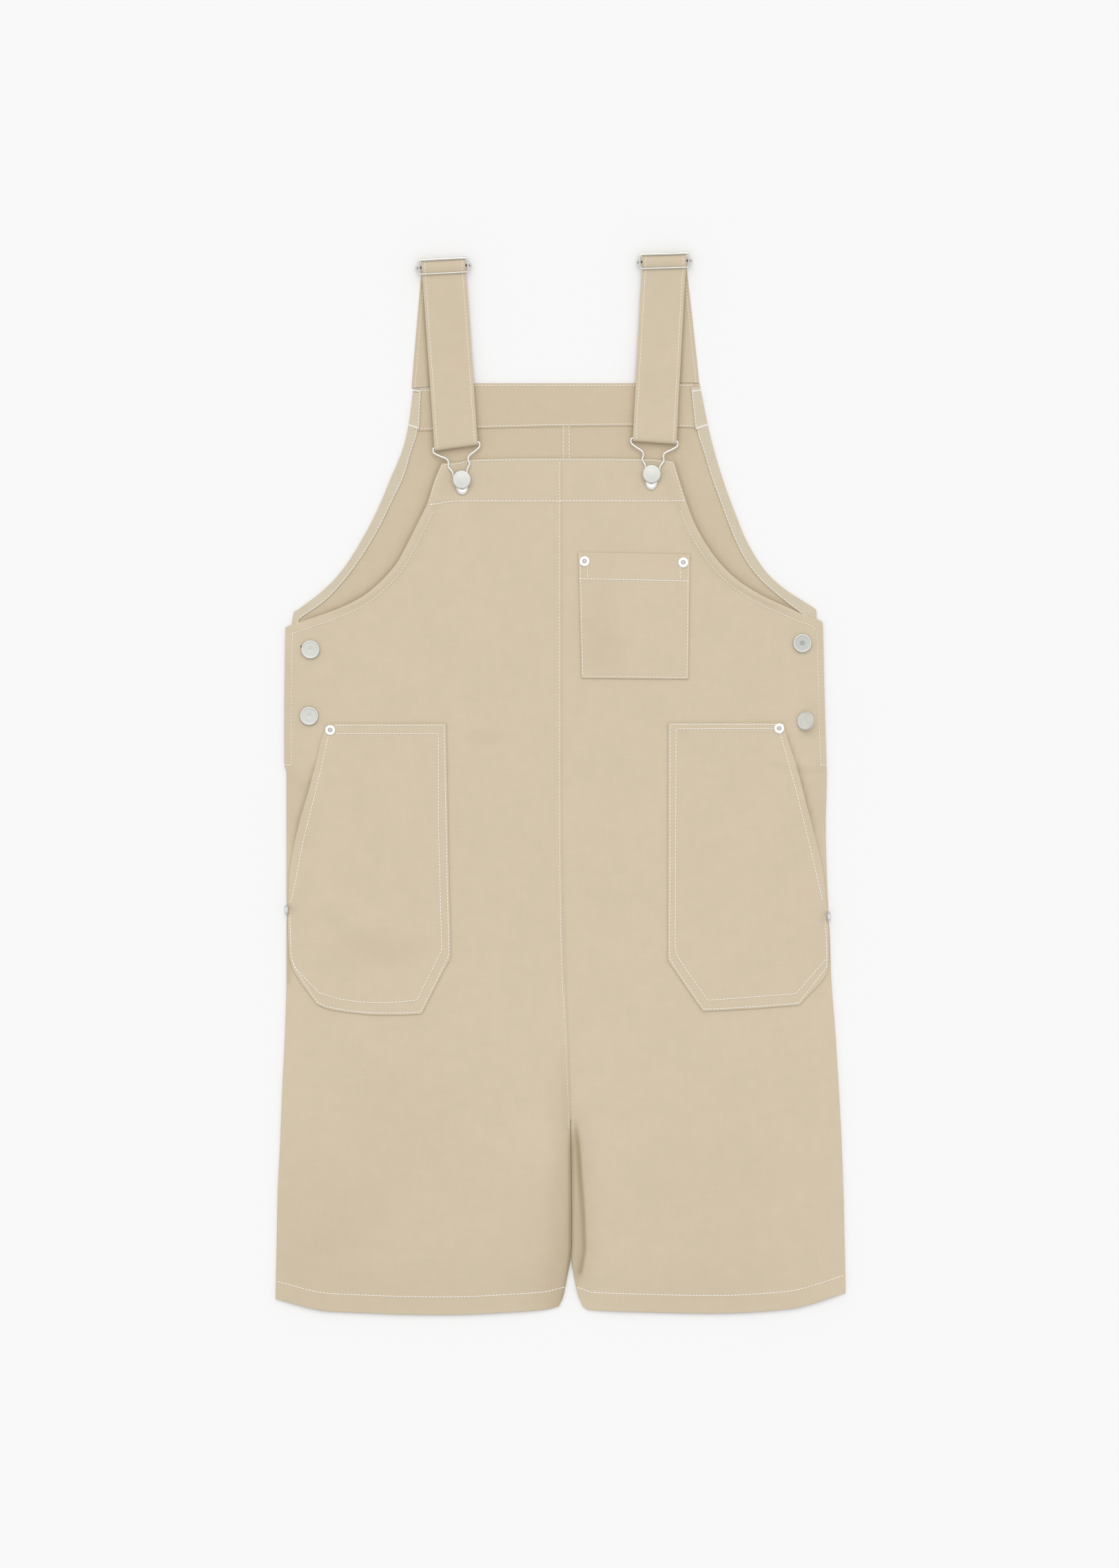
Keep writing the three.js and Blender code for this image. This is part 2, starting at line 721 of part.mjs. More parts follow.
// A side button lies close on the cloth, with its stem in the buttonhole
function addSideButton(name, side, spot) {
  const rimHeight = 1;
  const tilt = THREE.MathUtils.degToRad(spot.tilt);
  const lift = Math.max(0, BUTTON_RADIUS * Math.sin(tilt) - rimHeight * Math.cos(tilt));
  const button = turned([
    [0, 0], [3, 0], [3, 0.5], [7.6, 0.6], [BUTTON_RADIUS, rimHeight], [BUTTON_RADIUS, 1.6],
    [7.8, 2.2], [6.6, 2.4], [5.8, 2.15], [0, 2],
  ]);
  const seat = frontTop(side, spot.x, spot.y) + 2 * GAP;
  add(name, button, SATIN_METAL, [spot.x, spot.y, seat + lift], [0, -spot.tilt, 0]);
}

function rivet() {
  return turned([
    [0, 0], [4.3, 0], [RIVET_RADIUS, 0.3], [RIVET_RADIUS, 0.5], [4.2, 0.9], [2.6, 1], [2.2, 0.7],
    [1.3, 0.7], [1, 1], [0, 1],
  ], 12);
}

function addPocketRivet(name, side, x, y) {
  add(name, rivet(), SATIN_METAL, [x, y, frontTop(side, x, y) + CLOTH + 2.4 * GAP]);
}

// The side seam rivet leans on the folded edge, its lower rim just off the surface
function addSideRivet(name, side) {
  const { y } = side.sideRivet;
  const tilt = THREE.MathUtils.degToRad(SIDE_RIVET_TILT);
  const x = frontEdge(side, y) + side.sign * (GAP + 0.1);
  const height = RIVET_RADIUS * Math.sin(tilt) + GAP;
  add(`side_rivet_${name}`, rivet(), SATIN_METAL, [x, y, height], [0, side.sign * SIDE_RIVET_TILT, 0]);
}

addBackBand();
for (const [name, side] of Object.entries(SIDES)) {
  addBack(name, side);
  addBackTrim(name, side);
  addFront(name, side);
  addHipPocket(name, side);
  add(`strap_${name}`, strip(strapStops(side), STRAP_WIDTH, STRAP_WALL), STRAP_DRILL);
  addHook(name, side);
  addSlider(name, side);
  addBibButton(name, side);
  side.sideButtons.forEach((spot, i) => {
    addSideButton(`side_button_${['upper', 'lower'][i]}_${name}`, side, spot);
  });
  addPocketRivet(`hip_pocket_rivet_${name}`, side, side.pocketRivet.x, side.pocketRivet.y);
  addSideRivet(name, side);
}
addChestPocket();
CHEST_POCKET.rivets.forEach(([x, y], i) => {
  addPocketRivet(`chest_pocket_rivet_${['left', 'right'][i]}`, SIDES.right, x, y);
});

export default shortalls;
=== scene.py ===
# %% [markdown]
# # Shortalls laid flat
# This lesson dresses a pair of cotton drill shortalls that lies flat with the front up. The packed
# model already holds every cut piece and fitting at its real size. Here each cloth piece becomes a
# finely divided shell with soft folds and turned edges, real stitches are laid on it, and the cloth,
# thread and metal get their finishes. All lengths are in millimetres until a mesh is made.

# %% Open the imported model
import math

import bpy
import numpy as np
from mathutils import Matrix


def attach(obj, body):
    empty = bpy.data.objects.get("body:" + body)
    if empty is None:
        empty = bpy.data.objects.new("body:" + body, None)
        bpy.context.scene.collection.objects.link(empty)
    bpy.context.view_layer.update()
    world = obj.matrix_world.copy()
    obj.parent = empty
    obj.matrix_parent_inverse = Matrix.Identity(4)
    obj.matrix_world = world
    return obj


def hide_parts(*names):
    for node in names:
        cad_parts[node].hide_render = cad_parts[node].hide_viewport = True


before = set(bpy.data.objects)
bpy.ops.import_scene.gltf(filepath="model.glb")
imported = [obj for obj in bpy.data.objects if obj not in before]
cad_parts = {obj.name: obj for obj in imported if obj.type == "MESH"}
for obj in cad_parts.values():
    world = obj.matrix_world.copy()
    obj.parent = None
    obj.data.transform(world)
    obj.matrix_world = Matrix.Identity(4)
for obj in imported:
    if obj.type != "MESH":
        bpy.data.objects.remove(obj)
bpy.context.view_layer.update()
MM = 0.001
print("nodes in the packed model:", len(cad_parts))

# %% [markdown]
# ## Camera
# The garment is photographed straight from above, as a cut-out on a pale ground. A camera close by
# would show raised parts larger than the rest. A long lens far above keeps the plan free of that, so a
# place in the picture is a place in the plan.

# %% Camera
PHOTO_CENTRE = (-0.95, -0.3)
CAMERA_HEIGHT = 3983
CAMERA_LENS = 100
SENSOR_WIDTH = 36
camera_data = bpy.data.cameras.new("overhead")
camera_data.lens = CAMERA_LENS
camera_data.sensor_width = SENSOR_WIDTH
camera = bpy.data.objects.new("overhead", camera_data)
camera.location = (PHOTO_CENTRE[0] * MM, PHOTO_CENTRE[1] * MM, CAMERA_HEIGHT * MM)
bpy.context.collection.objects.link(camera)
bpy.context.scene.camera = camera
bpy.context.scene.view_settings.view_transform = "Standard"
print("length of floor in the picture, mm:", round(CAMERA_HEIGHT * SENSOR_WIDTH / CAMERA_LENS))

# %% [markdown]
# ## Light
# The light comes from all sides, so each step of the cloth throws only a faint, soft shade. A lamp
# near the floor would make hard shadows and a bright spot. An even white world gives the soft shade,
# and one large soft lamp beyond the straps gives it a direction.

# %% Light
WORLD_STRENGTH = 0.75
LAMP_STRENGTH = 0.93
LAMP_SOFTNESS = 55
world = bpy.data.worlds.new("studio")
bpy.context.scene.world = world
world.use_nodes = True
world.node_tree.nodes["Background"].inputs["Color"].default_value = (1.0, 1.0, 1.0, 1)
world.node_tree.nodes["Background"].inputs["Strength"].default_value = WORLD_STRENGTH


def far_lamp(name, from_x, from_y, from_z, strength, softness):
    """A large lamp far away, so that it lights every part of the floor alike."""
    data = bpy.data.lights.new(name, "SUN")
    data.energy = strength
    data.angle = math.radians(softness)
    lamp = bpy.data.objects.new(name, data)
    lamp.rotation_euler = (math.atan2(math.hypot(from_x, from_y), from_z), 0, math.atan2(from_x, -from_y))
    lamp.location = (from_x, from_y, from_z)
    bpy.context.collection.objects.link(lamp)
    return lamp


far_lamp("key", 0.0, 0.55, 1.0, LAMP_STRENGTH, LAMP_SOFTNESS)

# %% [markdown]
# ## Shader maths as plain sums
# A finish is mostly sums on sockets. A small class wraps a socket, so that an expression such as
# `1 - mask * 0.2` adds its Math nodes by itself. Every other node comes from one method.

# %% Sockets that add and multiply
class Value:
    """A number that changes over a surface."""

    def __init__(self, finish, socket):
        self.finish = finish
        self.socket = socket

    def _sum(self, operation, first, second):
        node = self.finish.node("ShaderNodeMath", {"operation": operation}, {0: first, 1: second})
        return Value(self.finish, node.outputs[0])

    def __add__(self, other):
        return self._sum("ADD", self, other)

    def __sub__(self, other):
        return self._sum("SUBTRACT", self, other)

    def __rsub__(self, other):
        return self._sum("SUBTRACT", other, self)

    def __mul__(self, other):
        return self._sum("MULTIPLY", self, other)

    def __truediv__(self, other):
        return self._sum("DIVIDE", self, other)

    def __rtruediv__(self, other):
        return self._sum("DIVIDE", other, self)

    __radd__ = __add__
    __rmul__ = __mul__

    def bump(self, width):
        """1 where the value is 0, falling softly to 0 at about twice the width."""
        square = (self / width) * (self / width)
        return 1 / (1 + square * square)

    def step(self, low, high):
        """0 below low, 1 above high, soft between."""
        settings = {"interpolation_type": "SMOOTHSTEP"}
        sockets = {"Value": self, "From Min": low, "From Max": high}
        return Value(self.finish, self.finish.node("ShaderNodeMapRange", settings, sockets).outputs[0])


print("a value knows these sums: + - * /")

# %% [markdown]
# A material is a small tree of nodes behind one shader. Building each tree by hand would repeat the
# same few calls, so one class starts a material and knows how to add a node, a noise, a blend of two
# colours, a length that is stored on the mesh and a relief.

# %% A material under construction
class Finish:
    """One material: its shader, its tree of nodes and the place on the object."""

    def __init__(self, name, roughness, metallic=0.0):
        self.material = bpy.data.materials.new(name)
        self.material.use_nodes = True
        self.tree = self.material.node_tree
        self.shader = self.tree.nodes["Principled BSDF"]
        self.shader.inputs["Roughness"].default_value = roughness
        self.shader.inputs["Metallic"].default_value = metallic
        self.place = self.node("ShaderNodeTexCoord", {}, {}).outputs["Object"]

    def node(self, kind, settings, sockets):
        """Any node: its type, its settings, and values or links for its sockets."""
        node = self.tree.nodes.new(kind)
        for key, setting in settings.items():
            setattr(node, key, setting)
        for key, value in sockets.items():
            self.feed(node.inputs[key], value)
        return node

    def feed(self, entry, value):
        """Put a number, a colour or a link into a socket."""
        if isinstance(value, Value):
            value = value.socket
        if isinstance(value, bpy.types.NodeSocket):
            self.tree.links.new(value, entry)
        elif isinstance(value, tuple) and len(value) == 3 and entry.type == "RGBA":
            entry.default_value = (*value, 1)
        else:
            entry.default_value = value

    def noise(self, size, detail=2.0, stretch=(1, 1, 1)):
        """Soft noise from 0 to 1 whose blotches are about as wide as size."""
        scale = tuple(1 / (size * MM * part) for part in stretch)
        spread = self.node("ShaderNodeMapping", {}, {"Vector": self.place, "Scale": scale})
        sockets = {"Vector": spread.outputs[0], "Scale": 1.0, "Detail": detail}
        return Value(self, self.node("ShaderNodeTexNoise", {}, sockets).outputs["Fac"])

    def measure(self, name):
        """A value that is stored on the mesh, point by point."""
        return Value(self, self.node("ShaderNodeAttribute", {"attribute_name": name}, {}).outputs["Fac"])

    def blend(self, share, first, second):
        """A colour between two others."""
        node = self.node("ShaderNodeMix", {"data_type": "RGBA"}, {"Factor": share})
        for entry, colour in zip([s for s in node.inputs if s.type == "RGBA"], (first, second)):
            self.feed(entry, colour)
        return [s for s in node.outputs if s.type == "RGBA"][0]

    def relief(self, height_mm):
        """Tilt the surface as if it stood height_mm proud."""
        bump = self.node("ShaderNodeBump", {}, {"Height": height_mm * MM, "Distance": 1.0, "Strength": 1.0})
        self.feed(self.shader.inputs["Normal"], bump.outputs[0])


print("socket maths ready")

# %% [markdown] ## Floor A plain pale sheet under the garment, a hair below it so that the two never
# share a plane.

# %% Floor
FLOOR_REACH = 4000
FLOOR_DROP = 0.1
FLOOR_SHADE = 0.935


def make_floor():
    mesh = bpy.data.meshes.new("floor")
    corners = [(-1, -1), (1, -1), (1, 1), (-1, 1)]
    mesh.from_pydata([(x * FLOOR_REACH * MM, y * FLOOR_REACH * MM, -FLOOR_DROP * MM) for x, y in corners],
                     [], [(0, 1, 2, 3)])
    floor = bpy.data.objects.new("floor", mesh)
    bpy.context.collection.objects.link(floor)
    paper = Finish("pale paper", 0.95)
    paper.shader.inputs["Base Color"].default_value = (*[FLOOR_SHADE] * 3, 1)
    paper.shader.inputs["Specular IOR Level"].default_value = 0.1
    mesh.materials.append(paper.material)
    return floor


floor = make_floor()
print("floor laid")

# %% [markdown]
# ## Cotton drill
# Drill is a dense twill: fine diagonal ribs, a little uneven where the yarn is thicker, with a soft
# cloudiness from washing. A picture of cloth would show the same flaw again and again, so the finish is
# grown from noise instead. The ribs and slubs are relief only. Each mesh also carries three values: how
# far a point is from the nearest stitch line, how far inside a turned edge it is, and how much painted
# shade it takes from wide patches and creases. They press a groove under the thread, pucker the cloth
# beside it, lift the double layer of a turned edge and paint shade into the creases and patches.

# %% Cloth finishes
TWILL_ANGLE = 62
TWILL_PITCH = 0.62
# The colour of painted shade, as a share of the cloth's own colour.
PAINTED_SHADE_SHARE = (0.52, 0.475, 0.37)


def drill(name, colour, lean=1.0):
    """Twill cloth of one colour. The ribs lean the other way on the inner side."""
    cloth = Finish(name, 0.9)
    sheen = {"Sheen Weight": 0.12, "Sheen Roughness": 0.45, "Specular IOR Level": 0.2}
    for key, amount in sheen.items():
        cloth.shader.inputs[key].default_value = amount
    cloud = cloth.noise(60, 2.0) * 0.4 + cloth.noise(11, 3.0) * 0.6
    warp = cloth.noise(3.2, 2.0, (0.6, 9.0, 1)) + cloth.noise(3.2, 2.0, (9.0, 0.6, 1))
    slub = cloth.noise(1.6, 2.0, (0.35, 3.0, 1))
    yarn = cloth.noise(0.7, 1.0, (1.0, 1.6, 1))
    seam = cloth.measure("seam")
    turned = cloth.measure("turned")
    groove = seam.bump(0.8)
    pucker = seam.bump(4.5) * (cloth.noise(6.5, 1.0) - 0.5)
    double = 1 - turned.step(-0.35, 0.35)
    pale = tuple(min(1, part * 1.035) for part in colour)
    dark = tuple(part * 0.965 for part in colour)
    shade_colour = tuple(part * factor for part, factor in zip(colour, PAINTED_SHADE_SHARE))
    tone = cloth.blend((cloud * 0.6 + warp * 0.2 - 0.3) / 0.4, dark, pale)
    # Painted shade: the stored tone draws the colour towards the shade colour in creases and patches.
    tone = cloth.blend(cloth.measure("tone") * 2, tone, shade_colour)
    cloth.feed(cloth.shader.inputs["Base Color"], tone)
    rotation = (0, 0, lean * math.radians(TWILL_ANGLE))
    turn = cloth.node("ShaderNodeMapping", {}, {"Vector": cloth.place, "Rotation": rotation})
    scale = 1 / (2 * math.pi * TWILL_PITCH * MM) * 0.5
    waves = {"Vector": turn.outputs[0], "Scale": scale, "Distortion": 0.6, "Detail": 1.0,
             "Detail Scale": 1.4}
    ribs = Value(cloth, cloth.node("ShaderNodeTexWave", {"bands_direction": "X"}, waves).outputs["Fac"])
    height = ribs * 0.03 + slub * 0.05 + yarn * 0.03 + pucker * 0.35 - groove * 0.04 + double * 0.12
    cloth.relief(height)
    return cloth.material


FACE_COLOUR = (0.651, 0.552, 0.407)
# A little darker than the face side: painted shade for cloth that lies under the front.
INSIDE_SHADED_COLOUR = (0.630, 0.527, 0.380)
STRAP_COLOUR = (0.645, 0.548, 0.402)
FACING_COLOUR = (0.642, 0.564, 0.432)
face_drill = drill("drill, face side", FACE_COLOUR)
inside_drill = drill("drill, inner side", INSIDE_SHADED_COLOUR, -1.0)
strap_drill = drill("drill, straps", STRAP_COLOUR)
facing_drill = drill("drill, facings", FACING_COLOUR)
print("cloth finishes:", ", ".join(m.name for m in (face_drill, inside_drill, strap_drill, facing_drill)))

# %% [markdown]
# ## Thread
# The topstitching is a pale cream thread with a slight lustre. Its twist is too fine to model on
# three thousand stitches, so it is a small relief across the thread, and the tone varies a little.

# %% Thread finish
def thread_finish():
    thread = Finish("cream topstitching thread", 0.55)
    tone = thread.blend(thread.noise(4, 2.0), (0.90, 0.86, 0.77), (0.98, 0.95, 0.88))
    thread.feed(thread.shader.inputs["Base Color"], tone)
    thread.shader.inputs["Sheen Weight"].default_value = 0.2
    thread.relief(thread.noise(0.35, 1.0, (0.5, 2.0, 1)) * 0.03)
    return thread.material


cream_thread = thread_finish()
print("thread:", cream_thread.name)

# %% [markdown]
# ## Metal
# Hooks, sliders, buttons and rivets are nickel with a soft, slightly uneven polish. A mirror finish
# would only show the white room. A rough one with a cloudy tone looks like worn plating. Each kind of
# fitting has its own tone, because some are more worn and some lie at another slant to the light,
# which is painted into their tone: the face of the leaning button is painted paler.

# %% Metal finishes
def satin_metal(name, colour, roughness, mottle=0.10):
    """Plated metal of one colour, darker by up to mottle in its cloudy spots."""
    metal = Finish(name, roughness, 1.0)
    cloud = metal.noise(5, 3.0)
    grain = metal.noise(0.5, 2.0, (3.0, 0.4, 1))
    dull = tuple(part * (1 - mottle) for part in colour)
    metal.feed(metal.shader.inputs["Base Color"], metal.blend(cloud, dull, colour))
    metal.feed(metal.shader.inputs["Roughness"], roughness - 0.06 + cloud * 0.08 + grain * 0.06)
    metal.relief(grain * 0.004)
    return metal.material


bib_metal = satin_metal("satin nickel, bib buttons", (0.695, 0.705, 0.66), 0.5, 0.14)
rim_metal = satin_metal("satin nickel, button rims", (0.71, 0.71, 0.68), 0.5, 0.08)
side_metal = {"left": satin_metal("satin nickel, side buttons", (0.655, 0.665, 0.62), 0.52, 0.12),
              "right": satin_metal("worn nickel, side buttons", (0.60, 0.605, 0.565), 0.55, 0.16)}
# Painted light: the leaning button's face is paler for the light that its slant catches.
slant_lit_metal = satin_metal("pale nickel, leaning button", (0.84, 0.85, 0.78), 0.5, 0.14)
dull_metal = satin_metal("dull nickel, button centre", (0.47, 0.47, 0.44), 0.6)
wire_metal = satin_metal("satin nickel, hooks", (0.92, 0.91, 0.88), 0.32)
slider_metal = satin_metal("satin nickel, sliders", (0.70, 0.695, 0.655), 0.36)
rivet_metal = satin_metal("bright nickel, rivets", (1.0, 1.0, 0.98), 0.45, 0.02)
rivet_core = satin_metal("worn nickel, rivet shanks", (0.60, 0.585, 0.55), 0.45)
seam_rivet_metal = satin_metal("worn nickel, seam rivets", (0.62, 0.63, 0.61), 0.45, 0.08)
print("metal finishes ready:", len([m for m in bpy.data.materials if "nickel" in m.name]))

# %% [markdown]
# ## The pattern of the garment
# The outlines are short tables of measured rows. A curve that never swings past its rows joins them,
# so that an armhole stays round and a corner stays a corner. The same tables hold for cloth, pockets
# and stitches, so that everything follows one pattern.

# %% Curves through short tables
def ease(t):
    """A soft step: 0 below 0, 1 above 1."""
    t = np.clip(t, 0, 1)
    return t * t * (3 - 2 * t)


def table(names, rows):
    """Rows of numbers as named columns."""
    return dict(zip(names.split(), np.array(rows, float).T))


def curve(rows, along, value):
    """A smooth curve through one column of a table, level wherever the rows turn back."""
    order = np.argsort(rows[along])
    at, to = rows[along][order], rows[value][order]
    slope = np.diff(to) / np.diff(at)
    before, after = slope[:-1], slope[1:]
    total = np.where(before * after > 0, before + after, 1)
    middle = np.where(before * after > 0, 2 * before * after / total, 0)
    tangent = np.concatenate([slope[:1], middle, slope[-1:]])

    def follow(x):
        x = np.clip(x, at[0], at[-1])
        i = np.clip(np.searchsorted(at, x, side="right") - 1, 0, len(at) - 2)
        h = at[i + 1] - at[i]
        t = (x - at[i]) / h
        bend = t * (1 - t) * h * ((1 - t) * tangent[i] - t * tangent[i + 1])
        return to[i] + (to[i + 1] - to[i]) * ease(t) + bend

    return follow


print("a curve through three rows, halfway:",
      round(float(curve(table("y x", [[0, 0], [10, 5], [20, 6]]), "y", "x")(5)), 2))

# %% [markdown]
# The wall of the cloth, the room between two layers and a few heights along the garment come up again
# and again, so they get names first: where the straps, the bib, the side openings, the crotch and the
# hems begin and end.

# %% Layers and marks
CLOTH = 1.2
GAP = 0.3
BACK_EDGE = 366
BAND_EDGE = 327.5
BIB_TOP = 294
BIB_FACING = 258
OPENING_TOP = 143
OPENING_END = 17
CROTCH = -316
HEM_START = -400
HEM_END = -485
HEM_DEPTH = 16.5
ARMHOLE_DEPTH = 7.8
print("from the back's edge to the hem, mm:", BACK_EDGE - HEM_END)

# %% [markdown]
# Each edge is a table of its own: the height, and how far left and right the edge lies there. The back
# has its armholes and the inner edges of their facings. The front has armholes, side edges, inner
# legs, the hem and the top of the bib.

# %% Outlines of the back
BACK_ARMHOLE = table("y left right", [
    [366, -134.5, 127], [340, -137, 132], [313, -142, 138], [276, -156.5, 149], [250, -167.5, 158.5],
    [225, -180.5, 168.5], [200, -196, 183], [187, -206.5, 194], [175, -219, 209], [162, -236, 229.5],
    [159.2, -240.0, 233.3], [157, -243.6, 233.9], [146, -245.5, 233.5], [112, -249, 238], [18, -250, 241]])
FACING_EDGE = table("y left right", [
    [366, -128.5, 120], [321, -130.7, 125], [305, -135.8, 130], [282, -142.5, 137], [260, -152.8, 145],
    [233, -166, 155], [208, -181, 166.5], [189, -194.7, 180], [167, -215, 204.5], [156, -230.5, 219],
    [150, -239.5, 228]])
print("rows measured for the back and its facings:", len(BACK_ARMHOLE["y"]) + len(FACING_EDGE["y"]))

# %% Outlines of the front
FRONT_ARMHOLE = table("y left right", [
    [294, -108.7, 103.6], [277, -115.4, 108.8], [256, -122, 115.6], [238, -130.6, 122.5],
    [220, -139.7, 132.4], [202, -149.5, 145.4], [187, -162.2, 160.7], [172, -179.7, 184],
    [162, -198.3, 205.5], [154, -219.5, 223.5], [148, -237.7, 239.2], [143, -251.2, 239.6]])
SIDE_EDGE = table("y left right", [
    [143, -251.2, 239.6], [112, -251.7, 240.3], [61, -252.3, 241.6], [17, -252.3, 242.9],
    [11, -250.4, 243.2], [-39, -250.4, 242.2], [-90, -250.4, 243.5], [-140, -250.4, 246],
    [-178, -250.4, 247.3], [-228, -251.7, 251], [-279, -254.2, 254.2], [-329, -256.2, 256.8],
    [-380, -258.6, 258.6], [-430, -259.4, 259.6], [-485, -260.4, 260.4]])
INSIDE_EDGE = table("y left right", [
    [366, 0.9, 0.9], [24, 0.9, 0.9], [-102, 1.6, 1.6], [-165, 2.8, 2.8], [-208, 5.2, 5.2],
    [-250, 7.2, 7.2], [-302, 9.1, 9.1], [-420, 10.2, 10.2], [-434, 9.6, 9.6], [-460, 5.6, 12.9],
    [-476, 2.5, 16.7], [-485, -1.4, 20.6]])
HEM = table("x y", [
    [-261, -470.9], [-210, -482.3], [-106, -485.4], [-24, -481.6], [-11.7, -480.4], [-1.4, -477.6],
    [9, -476], [20.6, -478.2], [26, -480.8], [54, -482.2], [139, -484.2], [206, -480.4], [261, -465.3]])
BIB_LINE = table("x rise", [
    [-108.7, -1.2], [-95, -0.4], [-82, 2.4], [-60, 3.2], [0, 3.5], [77, 3.1], [93, 1.9], [104, 0.4]])
print("rows measured for the front:",
      sum(len(rows["y"]) for rows in (FRONT_ARMHOLE, SIDE_EDGE, INSIDE_EDGE, HEM)) + len(BIB_LINE["x"]))

# %% [markdown]
# ## The two halves
# Left and right differ a little, as in any garment laid down by hand, so mirroring one half would look
# wrong. A small class holds one half's edges and the places of its fittings: x and y of each, and a
# third number for its turn or tilt in degrees.

# %% Left and right
STRAP_WIDTH = 40
HALF_SEAM = GAP / 2
FELL_LEFT, FELL_RIGHT = 0.25, -0.1
PINCH = 1.0
PINCH_REACH = 11


class Half:
    """The left or the right half of the garment, as seen in the plan."""

    def __init__(self, name, sign, **places):
        self.name, self.sign = name, sign
        self.__dict__.update(places)
        self.armhole = curve(FRONT_ARMHOLE, "y", name)
        self.seam = curve(SIDE_EDGE, "y", name)
        self.inside = curve(INSIDE_EDGE, "y", name)
        self.back_edge = curve(BACK_ARMHOLE, "y", name)
        self.facing = curve(FACING_EDGE, "y", name)

    def front_edge(self, y):
        """The front's outer edge, pinched a little where the seam rivet holds it."""
        pinch = PINCH * ease(1 - np.abs(y - self.side_rivet) / PINCH_REACH)
        return np.where(y > OPENING_TOP, self.armhole(y), self.seam(y)) - self.sign * pinch

    def back_outline(self, y):
        return np.where(y > OPENING_END, self.back_edge(y), self.front_edge(y))

    def strap_edges(self):
        """Both edges of the front strap, from the slider to the hook."""
        ends = np.array([self.slider[:2], self.hook[:2]])
        angle = math.radians((self.slider[2] + self.hook[2]) / 2)
        aside = STRAP_WIDTH / 2 * np.array([math.cos(angle), math.sin(angle)])
        return [ends - aside, ends + aside]

    def inner_edge(self, y):
        """The left panel is felled over the right one, and the legs part below the crotch."""
        sewn = np.where(y > CROTCH + 10, FELL_LEFT if self.sign < 0 else FELL_RIGHT, self.sign * HALF_SEAM)
        return self.inside(y) + sewn


left = Half(
    "left", -1, facing_end=150, slider=(-106.9, 472.5, 3), hook=(-95.4, 309.3, 8),
    strap_end=(-116.2, 363.4, 5), bib_button=(-90.2, 277.5),
    side_buttons=[(-228.4, 122.5, 0), (-229.6, 61.8, 0)], pocket_rivet=(-210.4, 48.8), side_rivet=-115.2)
right = Half(
    "right", 1, facing_end=156, slider=(94.8, 477.2, 1.7), hook=(85.8, 314.1, -4),
    strap_end=(106.7, 366.4, 0), bib_button=(83.2, 282.6),
    side_buttons=[(220.8, 128.2, 0), (224, 57.3, 30)], pocket_rivet=(199.6, 50.3), side_rivet=-121.3)
HALVES = (left, right)
print("front width at the hems, mm:", round(float(right.front_edge(-485.0) - left.front_edge(-485.0))))

# %% [markdown]
# ## How the cloth lies
# The front rests on the back at every seam and stands a little off it between, as two layers of drill
# do when they are smoothed by hand. Soft ridges and troughs run out of the crotch, across the pockets
# and below the side openings. Cloth simulation could find such folds, but not these very ones, so each
# is a short line with a reach and a height.

# %% Soft folds
FOLDS = table("x0 y0 x1 y1 reach height", [
    [229, 4, 243, 9, 12, 0.6],
    [-232, -96, -150, -150, 30, 0.7],
    [-30, -380, -90, -420, 40, 0.5],
    [60, -250, 150, -330, 45, 0.5]])
SOFT_FOLDS = table("x0 y0 x1 y1 reach height", [
    [-8, -350, -45, -440, 16, 0.7],
    [-30, -320, -110, -430, 22, 0.7],
    [-70, -330, -170, -440, 26, 0.5],
    [-14, -300, -60, -250, 16, 0.4],
    [26, -296, 70, -240, 18, 0.35],
    [-242, 2, -200, 8, 8, 0.5],
    [-246, 12, -222, 22, 7, 0.4],
    [196, 22, 238, 12, 8, 0.9],
    [212, 6, 243, -4, 8, 0.8],
    [-120, 150, -40, 90, 34, 0.4],
    [-90, 52, -50, 46, 9, 0.5],
    [130, 120, 190, 60, 30, 0.4],
    [-200, 120, -150, 90, 18, 0.4],
    [-160, -260, -200, -400, 30, 0.6],
    [-215, -300, -238, -440, 24, 0.5],
    [170, -250, 215, -420, 34, 0.5],
    [-60, 60, -90, -60, 26, 0.3],
    [50, 40, 70, -90, 26, 0.3],
    [30, 150, 60, 130, 14, 0.4],
    [-215, -108, -150, -140, 20, 0.9],
    [-210, -150, -150, -186, 16, 0.5]])


def fold_height(rows, x, y):
    """The height that soft ridges add: each fades out at its reach from its line."""
    total = np.zeros(np.shape(x))
    for x0, y0, x1, y1, reach, height in zip(*rows.values()):
        dx, dy = x1 - x0, y1 - y0
        t = np.clip(((x - x0) * dx + (y - y0) * dy) / (dx * dx + dy * dy), 0, 1)
        total += height * ease(1 - np.hypot(x - x0 - t * dx, y - y0 - t * dy) / reach)
    return total


print("folds:", len(FOLDS["x0"]) + len(SOFT_FOLDS["x0"]))

# %% [markdown]
# The light is so even that relief alone can't give the shade of the hems, the pocket's corner and the
# bib, so a few wide, faint patches of painted shade are laid down by their place on the garment.

# %% Patches of painted shade
SHADE_PATCHES = table("x y reach_x reach_y share", [
    [-235, -440, 110, 150, 0.055],
    [-110, -478, 150, 60, 0.04],
    [120, -480, 170, 60, 0.035],
    [-130, -390, 190, 170, 0.022],
    [150, -400, 190, 170, 0.02],
    [-22, -430, 60, 90, 0.03],
    [-168, -151, 64, 26, 0.055],
    [32, 142, 34, 62, 0.028],
    [-150, -300, 70, 110, 0.015],
    [-64, 45, 26, 14, 0.04],
    [40, 120, 26, 34, 0.025],
    [-250, 40, 22, 120, 0.02],
    [-246, -20, 26, 60, 0.03],
    [238, -20, 26, 60, 0.03]])


